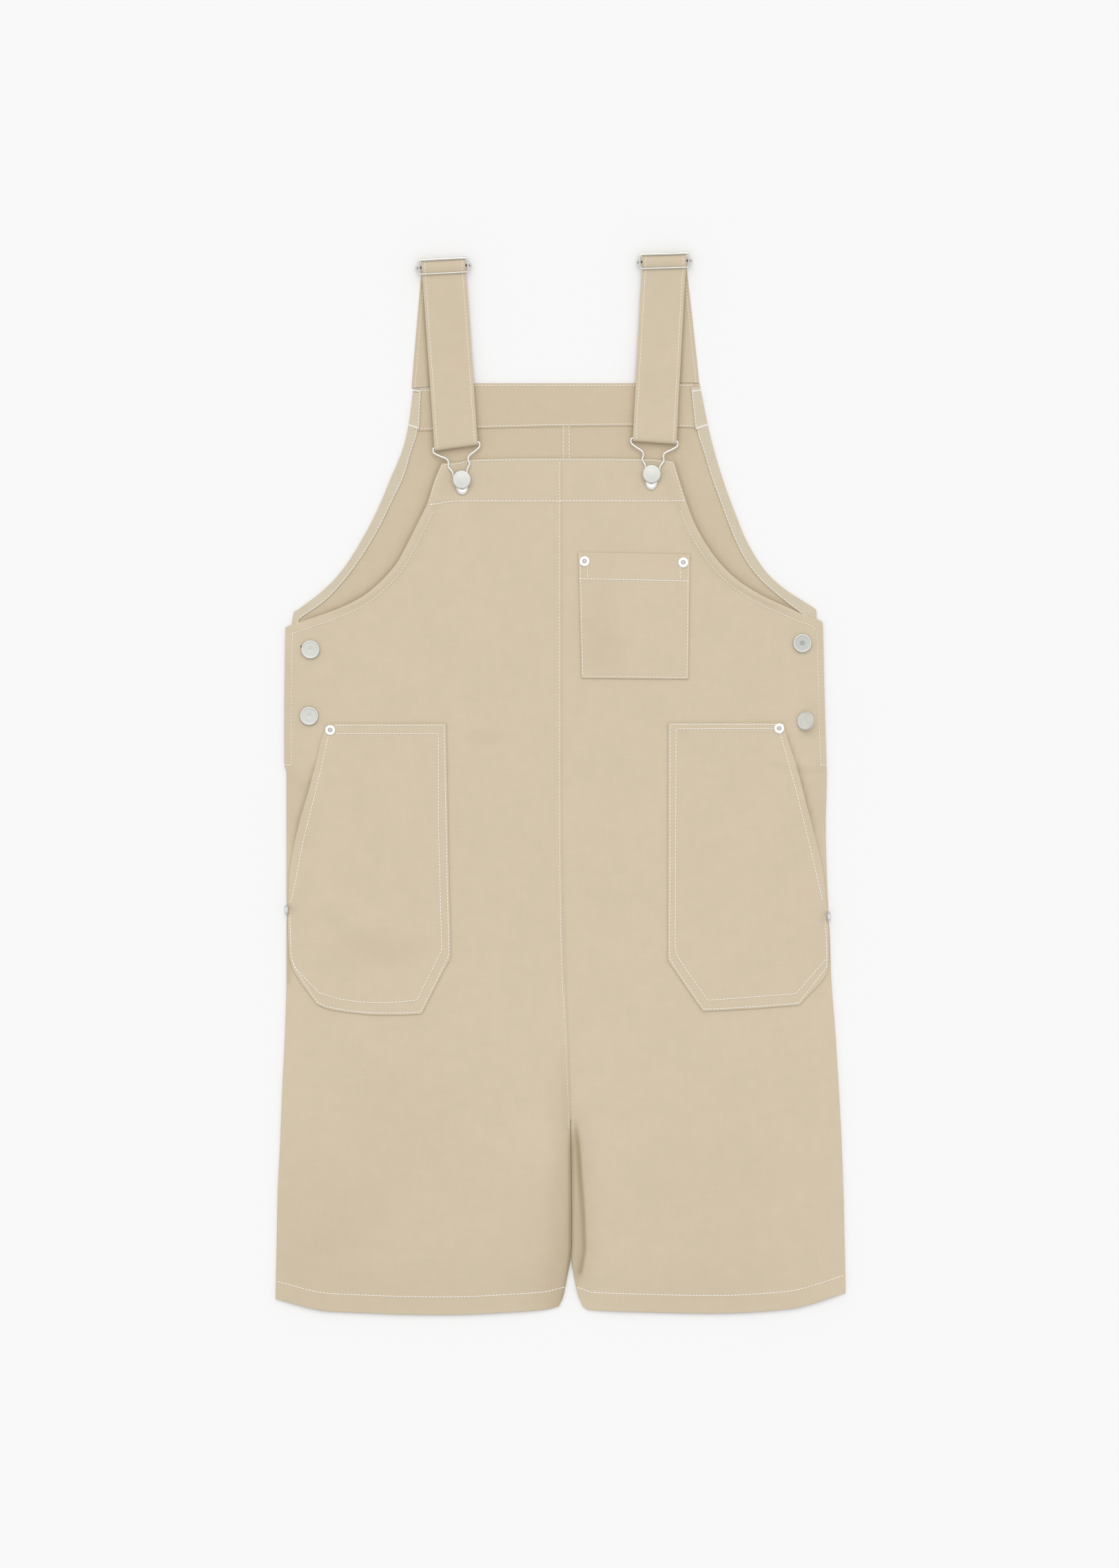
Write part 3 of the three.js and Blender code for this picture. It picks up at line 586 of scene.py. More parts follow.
def patch_shade(x, y):
    """How much painted shade darkens the cloth at a place, from the patches round it."""
    total = np.zeros(np.shape(x))
    for px, py, reach_x, reach_y, share in zip(*SHADE_PATCHES.values()):
        total += share * ease(1 - np.hypot((x - px) / reach_x, (y - py) / reach_y))
    return total


print("patches of tone:", len(SHADE_PATCHES["x"]))

# %% [markdown]
# No smoothed cloth is dead flat between its folds either. A slow drift of less than a millimetre,
# worked out from the place alone, gives the same small waves in every run.

# %% Slow drift
def drift(x, y, size, seed):
    """Slow noise from -1 to 1, the same in every run."""
    gx, gy = x / size, y / size
    ix, iy = np.floor(gx), np.floor(gy)
    fx, fy = ease(gx - ix), ease(gy - iy)

    def knot(i, j):
        value = np.sin(i * 127.1 + j * 311.7 + seed * 74.7) * 43758.5453
        return 2 * (value - np.floor(value)) - 1

    low = knot(ix, iy) * (1 - fx) + knot(ix + 1, iy) * fx
    high = knot(ix, iy + 1) * (1 - fx) + knot(ix + 1, iy + 1) * fx
    return low * (1 - fy) + high * fy


print("drift at one place:", round(float(drift(np.array(10.0), np.array(20.0), 46, 3)), 3))

# %% [markdown]
# Below the crotch the inner edges of the legs stand up beside the line where they touch. Each edge is
# a steep step with a long, gentle slope behind it. On the right leg the step keeps away from the edge,
# and a narrow strip of turned cloth lies low in front of it.

# %% Ridges beside the crotch
LEG_RIDGE = {"left": 3.9, "right": 4.4}
RIDGE_TOP = CROTCH + 16
RIDGE_GROWS = 44
RIDGE_FOOT = -478
RIDGE_FADES = 40
STEP_SHIFT = 1.7
STRIP_HEIGHT = 0.8
FOLD_LINE = table("y x", [
    [-296, 12], [-308, 14.2], [-332, 16.7], [-359, 18.6], [-390, 21.1], [-422, 21.7], [-439, 19.8],
    [-453, 15.5], [-485, 12]])
fold_line = curve(FOLD_LINE, "y", "x")


def crotch_height(half, x, y):
    """The inner edges of the legs stand up in a ridge beside the line where they touch."""
    along = ease((RIDGE_TOP - y) / RIDGE_GROWS) * ease((y - RIDGE_FOOT) / RIDGE_FADES)
    from_leg = half.sign * (x - half.inside(y))
    if half.sign < 0:
        ridge = (0.55 * ease(from_leg / 4) + 0.45 * ease(from_leg / 32)) * ease((84 - from_leg) / 52)
        return LEG_RIDGE["left"] * along * ridge
    beyond = x - fold_line(y) + STEP_SHIFT
    ridge = (0.75 * ease(beyond / 3.6) + 0.25 * ease(beyond / 18)) * ease((70 - beyond) / 52)
    strip = STRIP_HEIGHT * ease(from_leg / 2.5) * ease(-beyond / 3)
    return along * (LEG_RIDGE["right"] * ridge + strip)


print("ridges beside the crotch, mm high:", LEG_RIDGE)

# %% [markdown]
# Now the parts add up to one height for the underside of the front: a body that rises away from the
# seams, the folds and the drift on it, the ridges at the crotch, and armholes that gape because their
# turned edges aren't sewn to the back.

# %% Height of the front
ARMHOLE_LIFT = {"left": 2.9, "right": 3.2}
ARMHOLE_REACH = 15
SECOND_LAYER = CLOTH + GAP
EDGE_ROLL = 18
SEAM_ROLL = 6
LEG_ROLL = 36
LEG_BLEND = 70
BODY_RISE = table("y height", [
    [296, 0.2], [250, 0.5], [150, 1], [20, 1.3], [-120, 1.5], [-300, 1.8], [-430, 1.6], [-485, 0.9]])
body_rise = curve(BODY_RISE, "y", "height")


def armhole_gape(half, x, y):
    """The armhole's turned edge isn't sewn to the back, so it stands a little off it."""
    from_edge = half.sign * (half.armhole(y) - x)
    along = ease((y - 146) / 22) * ease((BIB_TOP + 5 - y) / 14)
    rolled = 1 - 0.4 * ease(1 - from_edge / 5)
    return ARMHOLE_LIFT[half.name] * along * ease(1.15 - from_edge / ARMHOLE_REACH) * rolled


def front_under(half, x, y):
    """Height of the front's underside."""
    from_seam = half.sign * (half.front_edge(y) - x)
    from_leg = half.sign * (x - half.inside(y))
    leg_share = ease((CROTCH - y) / LEG_BLEND)
    leg_fall = 1 - leg_share * (1 - ease(from_leg / LEG_ROLL))
    folds = fold_height(FOLDS, x, y) + fold_height(SOFT_FOLDS, x, y)
    loose = 0.22 * drift(x, y, 46, 3) + 0.12 * drift(x, y, 19, 8)
    stand = body_rise(y) * leg_fall + (folds + loose) * ease(from_leg / SEAM_ROLL)
    stand = stand * ease(from_seam / EDGE_ROLL) + crotch_height(half, x, y) + armhole_gape(half, x, y)
    return SECOND_LAYER + np.maximum(stand, 0)


def front_top(half, x, y):
    return front_under(half, x, y) + CLOTH


print("front's top in the middle of the left leg, mm:",
      round(float(front_top(left, np.array(-130.0), np.array(-330.0))), 2))

# %% [markdown]
# A cut piece is woven straight, but its ends curve: the hem, the top of the bib, the sagging top edge
# of the back and the lower edge of its band. So each grid is made straight first, and its rows are then
# led onto those curves near the ends.

# %% Rows that follow the ends
BIB_REACH = 30
BACK_DROOP = {"depth": 5, "from": -75, "width": 55, "start": 340}
BACK_HEM_TUCK = 1
BAND_LINE = table("x y", [[-130, 322.2], [-60, 325], [0, 326.3], [60, 326.8], [125, 325.2]])
hem_line = curve(HEM, "x", "y")
bib_line = curve(BIB_LINE, "x", "rise")
band_line = curve(BAND_LINE, "x", "y")


def front_flow(x, y):
    hem = HEM_START + (y - HEM_START) * (hem_line(x) - HEM_START) / (HEM_END - HEM_START)
    rise = ease((y - BIB_TOP + BIB_REACH) / BIB_REACH) * bib_line(x)
    return np.where(y < HEM_START, hem, y + rise)


def back_flow(x, y):
    outwards = ease((BACK_DROOP["from"] - x) / BACK_DROOP["width"])
    up = ease((y - BACK_DROOP["start"]) / (BACK_EDGE - BACK_DROOP["start"]))
    high = y - BACK_DROOP["depth"] * outwards * up
    return np.where(y < HEM_START, front_flow(x, y) + BACK_HEM_TUCK, high)


def band_flow(x, y):
    share = (BACK_EDGE - y) / (BACK_EDGE - BAND_EDGE)
    return back_flow(x, y) + (band_line(x) - BAND_EDGE) * share


print("the bib's top rises by, mm:", round(float(bib_line(0.0)), 1))

# %% [markdown]
# ## From points to a piece
# Every piece ends in the same way: its points and faces become a mesh with smooth shading, it rides on
# the garment's one body, gets its finish and takes the place of the plain solid.

# %% Link a piece
def link_piece(name, points, faces, materials, node=None, face_material=None):
    """Points are in millimetres."""
    mesh = bpy.data.meshes.new(name)
    mesh.from_pydata((np.asarray(points) * MM).tolist(), [], faces)
    for material in materials:
        mesh.materials.append(material)
    mesh.polygons.foreach_set("use_smooth", [True] * len(mesh.polygons))
    if face_material is not None:
        mesh.polygons.foreach_set("material_index", face_material)
    mesh.update()
    piece = bpy.data.objects.new(name, mesh)
    bpy.context.collection.objects.link(piece)
    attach(piece, "root")
    if node:
        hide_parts(node)
    return piece


print("pieces are linked in millimetres times", MM)

# %% [markdown]
# ## A shell for any cut piece
# Each cloth piece is a grid between two edges with a top and an underside, closed by a rounded rim,
# because a turned edge of drill is round and not cut square. A solidify modifier would give a square
# rim, so the wall is built point by point. Grid lines crowd near the rim to keep it round.

# %% Rows and columns
RIM = np.array([0, 0.12, 0.35, 0.7, 1.3, 2.4])
WELL_INSIDE = 9.0


def across(start, end, step, crowd=0.0):
    """Places from start to end, one row for each height, close together at both rims.

    Below 0, crowd packs them towards the start as well, and above 0 towards the end."""
    inner = max(2, int(math.ceil(float(np.max(end - start) - 2 * RIM[-1]) / step)))
    share = np.linspace(0, 1, inner + 1)[1:-1]
    share = share ** (1 - crowd) if crowd < 0 else 1 - (1 - share) ** (1 + crowd)
    start, end = start[:, None], end[:, None]
    middle = start + RIM[-1] + (end - start - 2 * RIM[-1]) * share[None, :]
    places = np.hstack([start + RIM[None, :], middle, end - RIM[None, ::-1]])
    from_edge = np.hstack([RIM, np.full(len(share), WELL_INSIDE), RIM[::-1]])
    return places, from_edge


def heights(low, high, step, marks=()):
    """Row heights from low to high: the marks, rows between them, and close rows at both ends."""
    stops = sorted({low + RIM[-1], high - RIM[-1], *[m for m in marks if low + 3 < m < high - 3]})
    rows = [low + r for r in RIM[:-1]]
    for first, last in zip(stops, stops[1:]):
        count = max(1, int(math.ceil((last - first) / step)))
        rows += [first + (last - first) * k / count for k in range(count)]
    rows += [high - r for r in RIM[::-1]]
    return np.array(rows)


def plan_grid(rows, edge_a, edge_b, step, flow=None, crowd=0.0):
    """A grid of plan points between two edges, with each point's distance from the rim."""
    a, b = edge_a(rows), edge_b(rows)
    x, rim_x = across(np.minimum(a, b), np.maximum(a, b), step, crowd)
    y = np.broadcast_to(rows[:, None], x.shape)
    from_end = np.minimum(rows - rows[0], rows[-1] - rows)
    rim = np.minimum(rim_x[None, :], from_end[:, None])
    return x, (flow(x, y) if flow else y.copy()), rim


def grid_faces(rows, columns):
    first = (np.arange(rows - 1)[:, None] * columns + np.arange(columns - 1)[None, :]).ravel()
    return np.stack([first, first + 1, first + columns + 1, first + columns], 1)


print("rows in 20 mm of cloth:", len(heights(0, 20, 4)))

# %% [markdown]
# The finish asks each point how far it is from a stitch line, a turned edge or a crease with painted
# shade. Those are distances to lines in the plan, so one function serves all three. A crease's painted
# shade may grow along the garment, as the ones beside the crotch do, which start from nothing at the
# seam.

# %% Distances and painted shade of creases
FAR = 60.0


def distance_to(lines, x, y):
    """How far each point is from the nearest of some lines in the plan."""
    best = np.full(x.shape, FAR)
    for line in lines:
        for (x0, y0), (x1, y1) in zip(line, line[1:]):
            dx, dy = x1 - x0, y1 - y0
            t = np.clip(((x - x0) * dx + (y - y0) * dy) / max(dx * dx + dy * dy, 1e-9), 0, 1)
            best = np.minimum(best, np.hypot(x - x0 - t * dx, y - y0 - t * dy))
    return best


def crease_shade(creases, x, y):
    """Painted shade in the depth of a crease: each has a line in the plan, a reach and a share.

    Two more values, a height and a length, let it grow from that height on."""
    total = np.zeros(np.shape(x))
    for line, reach, share, *growth in creases:
        grown = ease((y - growth[0]) / growth[1]) if growth else 1.0
        total += share * grown * ease(1 - distance_to([line], x, y) / reach)
    return total


def store_values(piece, values):
    """Write named values onto the mesh, one for each point."""
    for key, column in values.items():
        store = piece.data.attributes.new(key, "FLOAT", "POINT")
        store.data.foreach_set("value", np.asarray(column, np.float32))


print("a point 3 mm beside a line is this far from it:",
      round(float(distance_to([[(0, 0), (0, 10)]], np.array([3.0]), np.array([5.0]))[0]), 1))

# %% [markdown]
# The shell itself: the top and the underside are the same grid at two heights, drawn together towards
# the rim along a quarter of a circle, and a ring of faces closes the edge.

# %% Cloth wall
RIM_ROUNDNESS = 0.92


def shell(name, grid, under, thick, finish, node, seams=(), turned=None, creases=()):
    """Close a grid of plan points into a cloth wall with a rounded rim."""
    x, y, rim = grid
    rows, columns = x.shape
    low = under(x, y)
    wall = np.broadcast_to(thick(x, y) if callable(thick) else thick, x.shape)
    radius = wall / 2
    inside = np.clip(radius - rim, 0, None)
    drop = np.where(rim < radius, radius - np.sqrt(np.maximum(radius**2 - inside**2, 0)), 0)
    drop = drop * RIM_ROUNDNESS
    top = np.stack([x, y, low + wall - drop], -1).reshape(-1, 3)
    bottom = np.stack([x, y, low + drop], -1).reshape(-1, 3)
    count = rows * columns
    quads = grid_faces(rows, columns)
    ring = np.concatenate([
        np.arange(columns), np.arange(1, rows) * columns + columns - 1,
        np.arange(columns - 2, -1, -1) + (rows - 1) * columns, np.arange(rows - 2, 0, -1) * columns])
    after = np.roll(ring, -1)
    side = np.stack([ring, ring + count, after + count, after], 1)
    faces = np.concatenate([quads, quads[:, ::-1] + count, side])
    piece = link_piece(name, np.concatenate([top, bottom]), faces.tolist(), [finish], node)
    flat = x.ravel(), y.ravel()
    untouched = np.full(count, FAR)
    seam = distance_to(seams, *flat) if len(seams) else untouched
    fold = turned(*flat) if turned else untouched
    # Painted shade from the wide patches and from the creases.
    tone = patch_shade(*flat) + crease_shade(creases, *flat)
    store_values(piece, {"seam": np.concatenate([seam, untouched]),
                         "turned": np.concatenate([fold, untouched]),
                         "tone": np.concatenate([tone, np.zeros(count)])})
    print(f"{name}: {2 * len(faces)} triangles")
    return piece


print("shell builder ready")

# %% [markdown]
# The flat size of each piece is measured from the piece's own grid and printed: a panel by its outline
# in the plan, and a narrow facing as a strip, whose turned edges are added to its width.

# %% Flat sizes
EDGE_TURN = 1.0


def flat_area(grid):
    """Area of the grid in the plan, in square millimetres."""
    x, y, _ = grid
    rows, columns = x.shape
    p = np.stack([x, y], -1).reshape(-1, 2)[grid_faces(rows, columns)]
    d1, d2 = p[:, 2] - p[:, 0], p[:, 3] - p[:, 1]
    return float(np.abs(d1[:, 0] * d2[:, 1] - d1[:, 1] * d2[:, 0]).sum() / 2)


def declare(grid, strip=False):
    """State the cut of what shows: the outline in the plan, or a strip with its edges' own turn."""
    x, y, _ = grid
    area = flat_area(grid)
    width, length = np.ptp(x), np.ptp(y)
    if strip:
        middle = np.stack([x.mean(axis=1), y.mean(axis=1)], 1)
        length = float(np.linalg.norm(np.diff(middle, axis=0), axis=1).sum())
        width = area / length + 2 * EDGE_TURN
        area = width * length
    print(f"  shows {width:.0f} x {length:.0f} mm, {area / 100:.0f} square cm")


print("each turned edge adds to a strip, mm:", EDGE_TURN)

# %% [markdown]
# ## Stitch lines
# Topstitching runs beside an edge at a constant distance, so each line is an outline moved inwards.
# The lines are worked out once: the cloth uses them for its grooves, and the thread is sewn on them.

# %% Lines beside edges
def inset(points, distance):
    """Move a line sideways to its left by a distance, with sharp corners kept."""
    points = np.asarray(points, float)
    along = np.diff(points, axis=0)
    along /= np.linalg.norm(along, axis=1)[:, None]
    normal = np.stack([-along[:, 1], along[:, 0]], 1)
    before = np.vstack([normal[:1], normal])
    after = np.vstack([normal, normal[-1:]])
    share = 1 + np.sum(before * after, axis=1)
    return points + distance * (before + after) / share[:, None]


def edge_line(edge, low, high, step=6.0, flow=None):
    """Points down an edge, from high to low."""
    y = np.linspace(high, low, max(2, int(abs(high - low) / step)))
    x = edge(y)
    return np.stack([x, flow(x, y) if flow else y], 1)


print("a line moved 2 mm sideways starts at:", inset([(0, 0), (0, 10)], 2)[0].round(1).tolist())

# %% [markdown]
# The front has a line beside each armhole, round the bib, along the side opening and above the hem.
# The centre seam is topstitched on its left. Below the waist its thread sinks into the cloth, so that
# stretch is a line of its own and can be sewn thinner.

# %% Stitch lines of the front
EDGE_STITCH = 1.6
BIB_TOP_STITCH = 1.7
CENTRE_STITCH = 2.0
CENTRE_SINKS = -215
OPENING_DEPTH = {"left": 6.4, "right": 5.4}
FACING_SAG = {"depth": 3.5, "from": 96, "width": 24}


def front_lines(half):
    turn = 1 if half.sign < 0 else -1
    lines = {}
    arm = edge_line(half.armhole, OPENING_TOP + 0.5, 252)
    lines["armhole"] = inset(arm, turn * ARMHOLE_DEPTH)
    bib_side = edge_line(half.armhole, BIB_FACING, BIB_TOP - 2)
    lines["bib_side"] = inset(bib_side, turn * EDGE_STITCH)
    x = np.linspace(half.inner_edge(BIB_TOP - 4.0), half.armhole(BIB_TOP) - half.sign * EDGE_STITCH, 30)
    lines["bib_top"] = np.stack([x, front_flow(x, np.full_like(x, BIB_TOP)) - BIB_TOP_STITCH], 1)
    x = np.linspace(half.inner_edge(BIB_FACING), half.armhole(BIB_FACING - 1) - half.sign * EDGE_STITCH, 30)
    sag = FACING_SAG["depth"] * ease((np.abs(x) - FACING_SAG["from"]) / FACING_SAG["width"])
    lines["bib_facing"] = np.stack([x, BIB_FACING + 0.3 - sag * (half.sign < 0)], 1)
    opening = edge_line(half.seam, OPENING_END, OPENING_TOP - 4)
    lines["opening"] = inset(opening, turn * OPENING_DEPTH[half.name])
    x = np.linspace(half.inside(-462.0) + half.sign * 1.5, half.seam(-455.0) - half.sign * 1.0, 60)
    lines["hem"] = np.stack([x, hem_line(x) + HEM_DEPTH], 1)
    if half.sign < 0:
        centre = lambda y: half.inside(y) - CENTRE_STITCH
        lines["centre"] = edge_line(centre, CENTRE_SINKS, BIB_TOP)
        lines["centre_low"] = edge_line(centre, CROTCH, CENTRE_SINKS - 2)
    return lines


FRONT_LINES = {half.name: front_lines(half) for half in HALVES}
for name, lines in FRONT_LINES.items():
    print(name, "front lines:", ", ".join(lines))

# %% [markdown]
# ## Back
# Two panels meet at the centre-back seam and lie flat on the surface. Only the part above the bib and
# beside the armholes shows, from the inside, so it takes the inner side's finish, a little darker than
# the face side as painted shade for cloth that lies under the front. Painted shade also darkens it
# beside the front's armhole edges and beside the straps. The centre-back seam is a flat-felled lap,
# which stands up as a narrow double strip.

# %% Back panels
LAP_WIDTH = 7.0
LAP_HEIGHT = 0.28
LAP_NEAR = 1.4
UNDERARM_ROWS = [157, 159.2]
# Share of painted shadow beside a strap.
STRAP_SHADE_BESIDE = 0.10


def back_thick(half):
    def thick(x, y):
        from_seam = half.sign * (x - half.inside(y))
        lap = (half.sign > 0) * LAP_HEIGHT * (1 - ease((from_seam - LAP_WIDTH + 1.2) / 0.8))
        return CLOTH - 0.1 + lap * (y > CROTCH)
    return thick


def make_back(half):
    rows = heights(HEM_END, BACK_EDGE, 12, [*np.arange(142, 364, 3.6), *UNDERARM_ROWS, *SIDE_EDGE["y"]])
    grid = plan_grid(rows, half.inner_edge, half.back_outline, 3.4, back_flow)
    front_edge = edge_line(half.armhole, 150, BIB_TOP)
    # Painted shade beside the front's armhole edge, and painted shadow beside the straps.
    creases = [(front_edge, 13, 0.05), (front_edge, 5, 0.10 if half.sign < 0 else 0.07)]
    creases += [(line, 6, STRAP_SHADE_BESIDE) for line in half.strap_edges()]
    lap = edge_line(lambda y: half.inside(y) + half.sign * LAP_WIDTH, 200, BAND_EDGE)
    near = edge_line(lambda y: half.inside(y) + half.sign * LAP_NEAR, 200, BAND_EDGE)
    seams = [lap, near] if half.sign > 0 else []
    piece = shell(f"back_cloth_{half.name}", grid, lambda x, y: np.zeros_like(x), back_thick(half),
                  inside_drill, f"back_panel_{half.name}", seams, creases=creases)
    declare(grid)
    return piece


for half in HALVES:
    make_back(half)

# %% [markdown]
# ## Band of the back
# The back's top edge is faced by a band between the straps. It could be a thicker part of the panel,
# but its lower edge is a free edge with its own stitch line, so it is a piece that lies on the panels.

# %% Back band
FACING_LAP = 1.4
ON_BACK = CLOTH - 0.05
BAND_WALL = 0.9


def make_band():
    rows = heights(BAND_EDGE, BACK_EDGE, 3)
    start, end = (lambda y: left.facing(y) - FACING_LAP), (lambda y: right.facing(y) + FACING_LAP)
    grid = plan_grid(rows, start, end, 3, band_flow)
    x = np.linspace(-128, 121, 40)
    low = np.stack([x, band_line(x) + 1.8], 1)
    top = np.stack([x, back_flow(x, np.full(len(x), float(BACK_EDGE))) - 2.0], 1)
    thick = lambda x, y: BAND_WALL + 0.06 * drift(x, y, 14, 21)
    # Painted shadow beside the straps, on the band.
    beside = [(line, 6, STRAP_SHADE_BESIDE) for half in HALVES for line in half.strap_edges()]
    piece = shell("back_band_cloth", grid, lambda x, y: np.full_like(x, ON_BACK), thick,
                  inside_drill, "back_band", [low, top], creases=beside)
    declare(grid)
    return [low, top]


BAND_LINES = make_band()

# %% [markdown]
# ## Facings of the armholes
# Outside each strap the band ends in a short turned end, and a narrow facing curves from there down to
# the underarm. Both are several layers thick and lap over the edge, so they climb a little towards it.
# Their drill is a little paler and greener than the flat cloth.

# %% Band ends and armhole facings
BAND_END_TAIL = 4
FACING_WALL = 1.0
END_WALL = FACING_WALL + 0.2
END_CLIMB = 0.95
FACING_STITCH = 1.1


def lap_lie(half, over):
    """A facing rests on the back panel, and climbs where it laps over another layer."""
    def under(x, y):
        from_inner = half.sign * (x - half.facing(y))
        return ON_BACK + over * ease(1 - (from_inner + FACING_LAP) / 5)
    return under


def make_band_end(half):
    lapped = lambda y: half.facing(y) - half.sign * FACING_LAP
    rows = heights(BAND_EDGE - BAND_END_TAIL, BACK_EDGE - 3.5, 4)
    grid = plan_grid(rows, lapped, half.back_edge, 2.5, back_flow)
    # Painted shadow beside the straps lies on the band end.
    piece = shell(f"band_end_cloth_{half.name}", grid, lap_lie(half, END_CLIMB), END_WALL,
                  facing_drill, f"back_band_end_{half.name}",
                  [edge_line(half.facing, BAND_EDGE - BAND_END_TAIL, 360)],
                  creases=[(line, 5, STRAP_SHADE_BESIDE) for line in half.strap_edges()])
    declare(grid)


def make_facing(half):
    """The band end and the armhole facing of one half. Their stitch lines are kept for the thread."""
    make_band_end(half)
    turn = 1 if half.sign < 0 else -1
    low, top = half.facing_end - 9, BAND_EDGE - BAND_END_TAIL + 2
    rows = heights(low, top, 4, [*UNDERARM_ROWS, 162])
    grid = plan_grid(rows, half.facing, half.back_edge, 2.5)
    line = inset(edge_line(half.facing, low + 4, top, 4), -turn * FACING_STITCH)
    piece = shell(f"armhole_facing_cloth_{half.name}", grid, lap_lie(half, 0.0),
                  lambda x, y: FACING_WALL + 0.08 * drift(x, y, 11, 5), facing_drill,
                  f"back_armhole_facing_{half.name}", [line])
    declare(grid, strip=True)
    return {"end": inset(edge_line(half.facing, top, 358), turn * 0.3), "facing": line}


FACING_LINES = {half.name: make_facing(half) for half in HALVES}

# %% [markdown]
# ## Front
# Bib and leg are cut in one on each side. Armholes, bib top, side openings and hems are turned and
# stitched, and the centre seam is felled towards the left, so the left panel stands a little higher.
# The deepest shade lies in narrow creases: beside the crotch, along the slanted pocket openings and at
# the side seams. It is painted into the cloth's colour: each crease is a line, a reach and a share of
# painted shade, and some grow along the garment.

# %% Painted shade in the creases of the front
LEG_LINE = [(9.9, -314), (10.3, -370), (10.1, -424), (6, -458), (0, -484)]
SEAM_FOOT = [(6.4, -240), (8, -280), *LEG_LINE]
STRIP_LINE = [(13, -310), (15, -360), (16.4, -420), (14, -448)]
STEP_WIDE = [(13.6, -306), (16.4, -332), (18.4, -362), (21, -396), (22.4, -426), (18, -446)]
STEP_TIGHT = [(13.4, -306), (16.0, -332), (18.0, -362), (20.6, -396), (21.8, -426), (18, -446)]
SEAM_LOW = [(2.2, -102), (7.6, -250), (9.9, -312)]
SEAM_HIGH = [(1.3, 292), (1.3, 24), (2, -102)]
SLANT_LEFT = [(-224.3, 19), (-231.6, -8), (-238.4, -31), (-246, -63)]
SLANT_RIGHT = [(207, 44), (216.5, 16), (225.7, -19), (230.3, -36), (238, -66)]
FRONT_CREASE_SHADE = {
    "left": [
        (SEAM_FOOT, 28, 0.09, -240, -70),
        (LEG_LINE, 48, 0.07, -300, -130),
        (LEG_LINE, 9, 0.07, -300, -30),
        (LEG_LINE, 4, 0.20, -308, -24),
        ([(7, -250), (9.6, -310)], 14, 0.03),
        (SLANT_LEFT, 4.2, 0.12, -72, 40),
        ([(-248, 6), (-222, -4)], 14, 0.04),
        ([(-248.5, -117), (-248.6, -183)], 3.0, 0.14)],
    "right": [
        (LEG_LINE, 4, 0.20, -308, -24),
        (STRIP_LINE, 9, 0.11, -300, -30),
        (STEP_WIDE, 20, 0.07, -270, -70),
        (STEP_TIGHT, 3.6, 0.20, -300, -24),
        (SEAM_LOW, 2.4, 0.07),
        (SEAM_HIGH, 2, 0.05),
        (SLANT_RIGHT, 4.2, 0.11, -74, 50),
        ([(217, 12), (240, 13)], 7, 0.05),
        ([(245.2, -123), (245.4, -160)], 3.0, 0.14)]}
print("creases of the front:", sum(len(rows) for rows in FRONT_CREASE_SHADE.values()))

# %% [markdown]
# Where an edge is turned in, the cloth is double. The finish lifts that stretch, and the wall is a
# little thicker there, so that the end of the turning shows as a faint step along its stitch line.

# %% Front panels
FELL_WIDTH = 6.0
FACING_ROWS = [256.6, 258, 259.6]
SEAM_RIVET_ROWS = [-129, -118, -107]
CROWD = 0.55


def front_turned(half):
    """How far inside or outside the turned edges a point is: below 0 the cloth is double."""
    arm = edge_line(half.armhole, OPENING_TOP + 0.5, BIB_TOP, 5)

    def turned(x, y):
        hem = y - hem_line(x) - HEM_DEPTH
        armhole = distance_to([arm], x, y) - ARMHOLE_DEPTH
        bib = BIB_FACING - y
        opening = half.sign * (half.seam(y) - x) - OPENING_DEPTH[half.name]
        opening = np.where((y < OPENING_END) | (y > OPENING_TOP + 4), FAR, opening)
        centre = half.sign * (x - half.inside(y)) - FELL_WIDTH if half.sign < 0 else np.full_like(x, FAR)
        centre = np.where(y < CROTCH, FAR, centre)
        return np.minimum.reduce([hem, armhole, bib, opening, centre])
    return turned


def front_thick(half):
    turned = front_turned(half)

    def thick(x, y):
        from_turning = turned(x.ravel(), y.ravel()).reshape(x.shape)
        return CLOTH - 0.15 + 0.3 * (1 - ease((from_turning + 1.2) / 2.4))
    return thick


def make_front(half):
    marks = [*FRONT_ARMHOLE["y"], *SIDE_EDGE["y"], *SEAM_RIVET_ROWS, *FACING_ROWS]
    rows = heights(HEM_END, BIB_TOP, 3.6, marks)
    grid = plan_grid(rows, half.inner_edge, half.front_edge, 2.7, front_flow, -CROWD * half.sign)
    piece = shell(f"front_cloth_{half.name}", grid, lambda x, y: front_under(half, x, y) - 0.1,
                  front_thick(half), face_drill, f"front_panel_{half.name}",
                  list(FRONT_LINES[half.name].values()), front_turned(half), FRONT_CREASE_SHADE[half.name])
    declare(grid)
    return piece


for half in HALVES:
    make_front(half)

# %% [markdown]
# ## Hip pockets
# Patch pockets lie on the front and follow its height. The hip pockets have slanted openings that
# gape a little, chamfered lower corners and two rows of stitching. Their outlines and stitch rows are
# short tables, as the front's are.

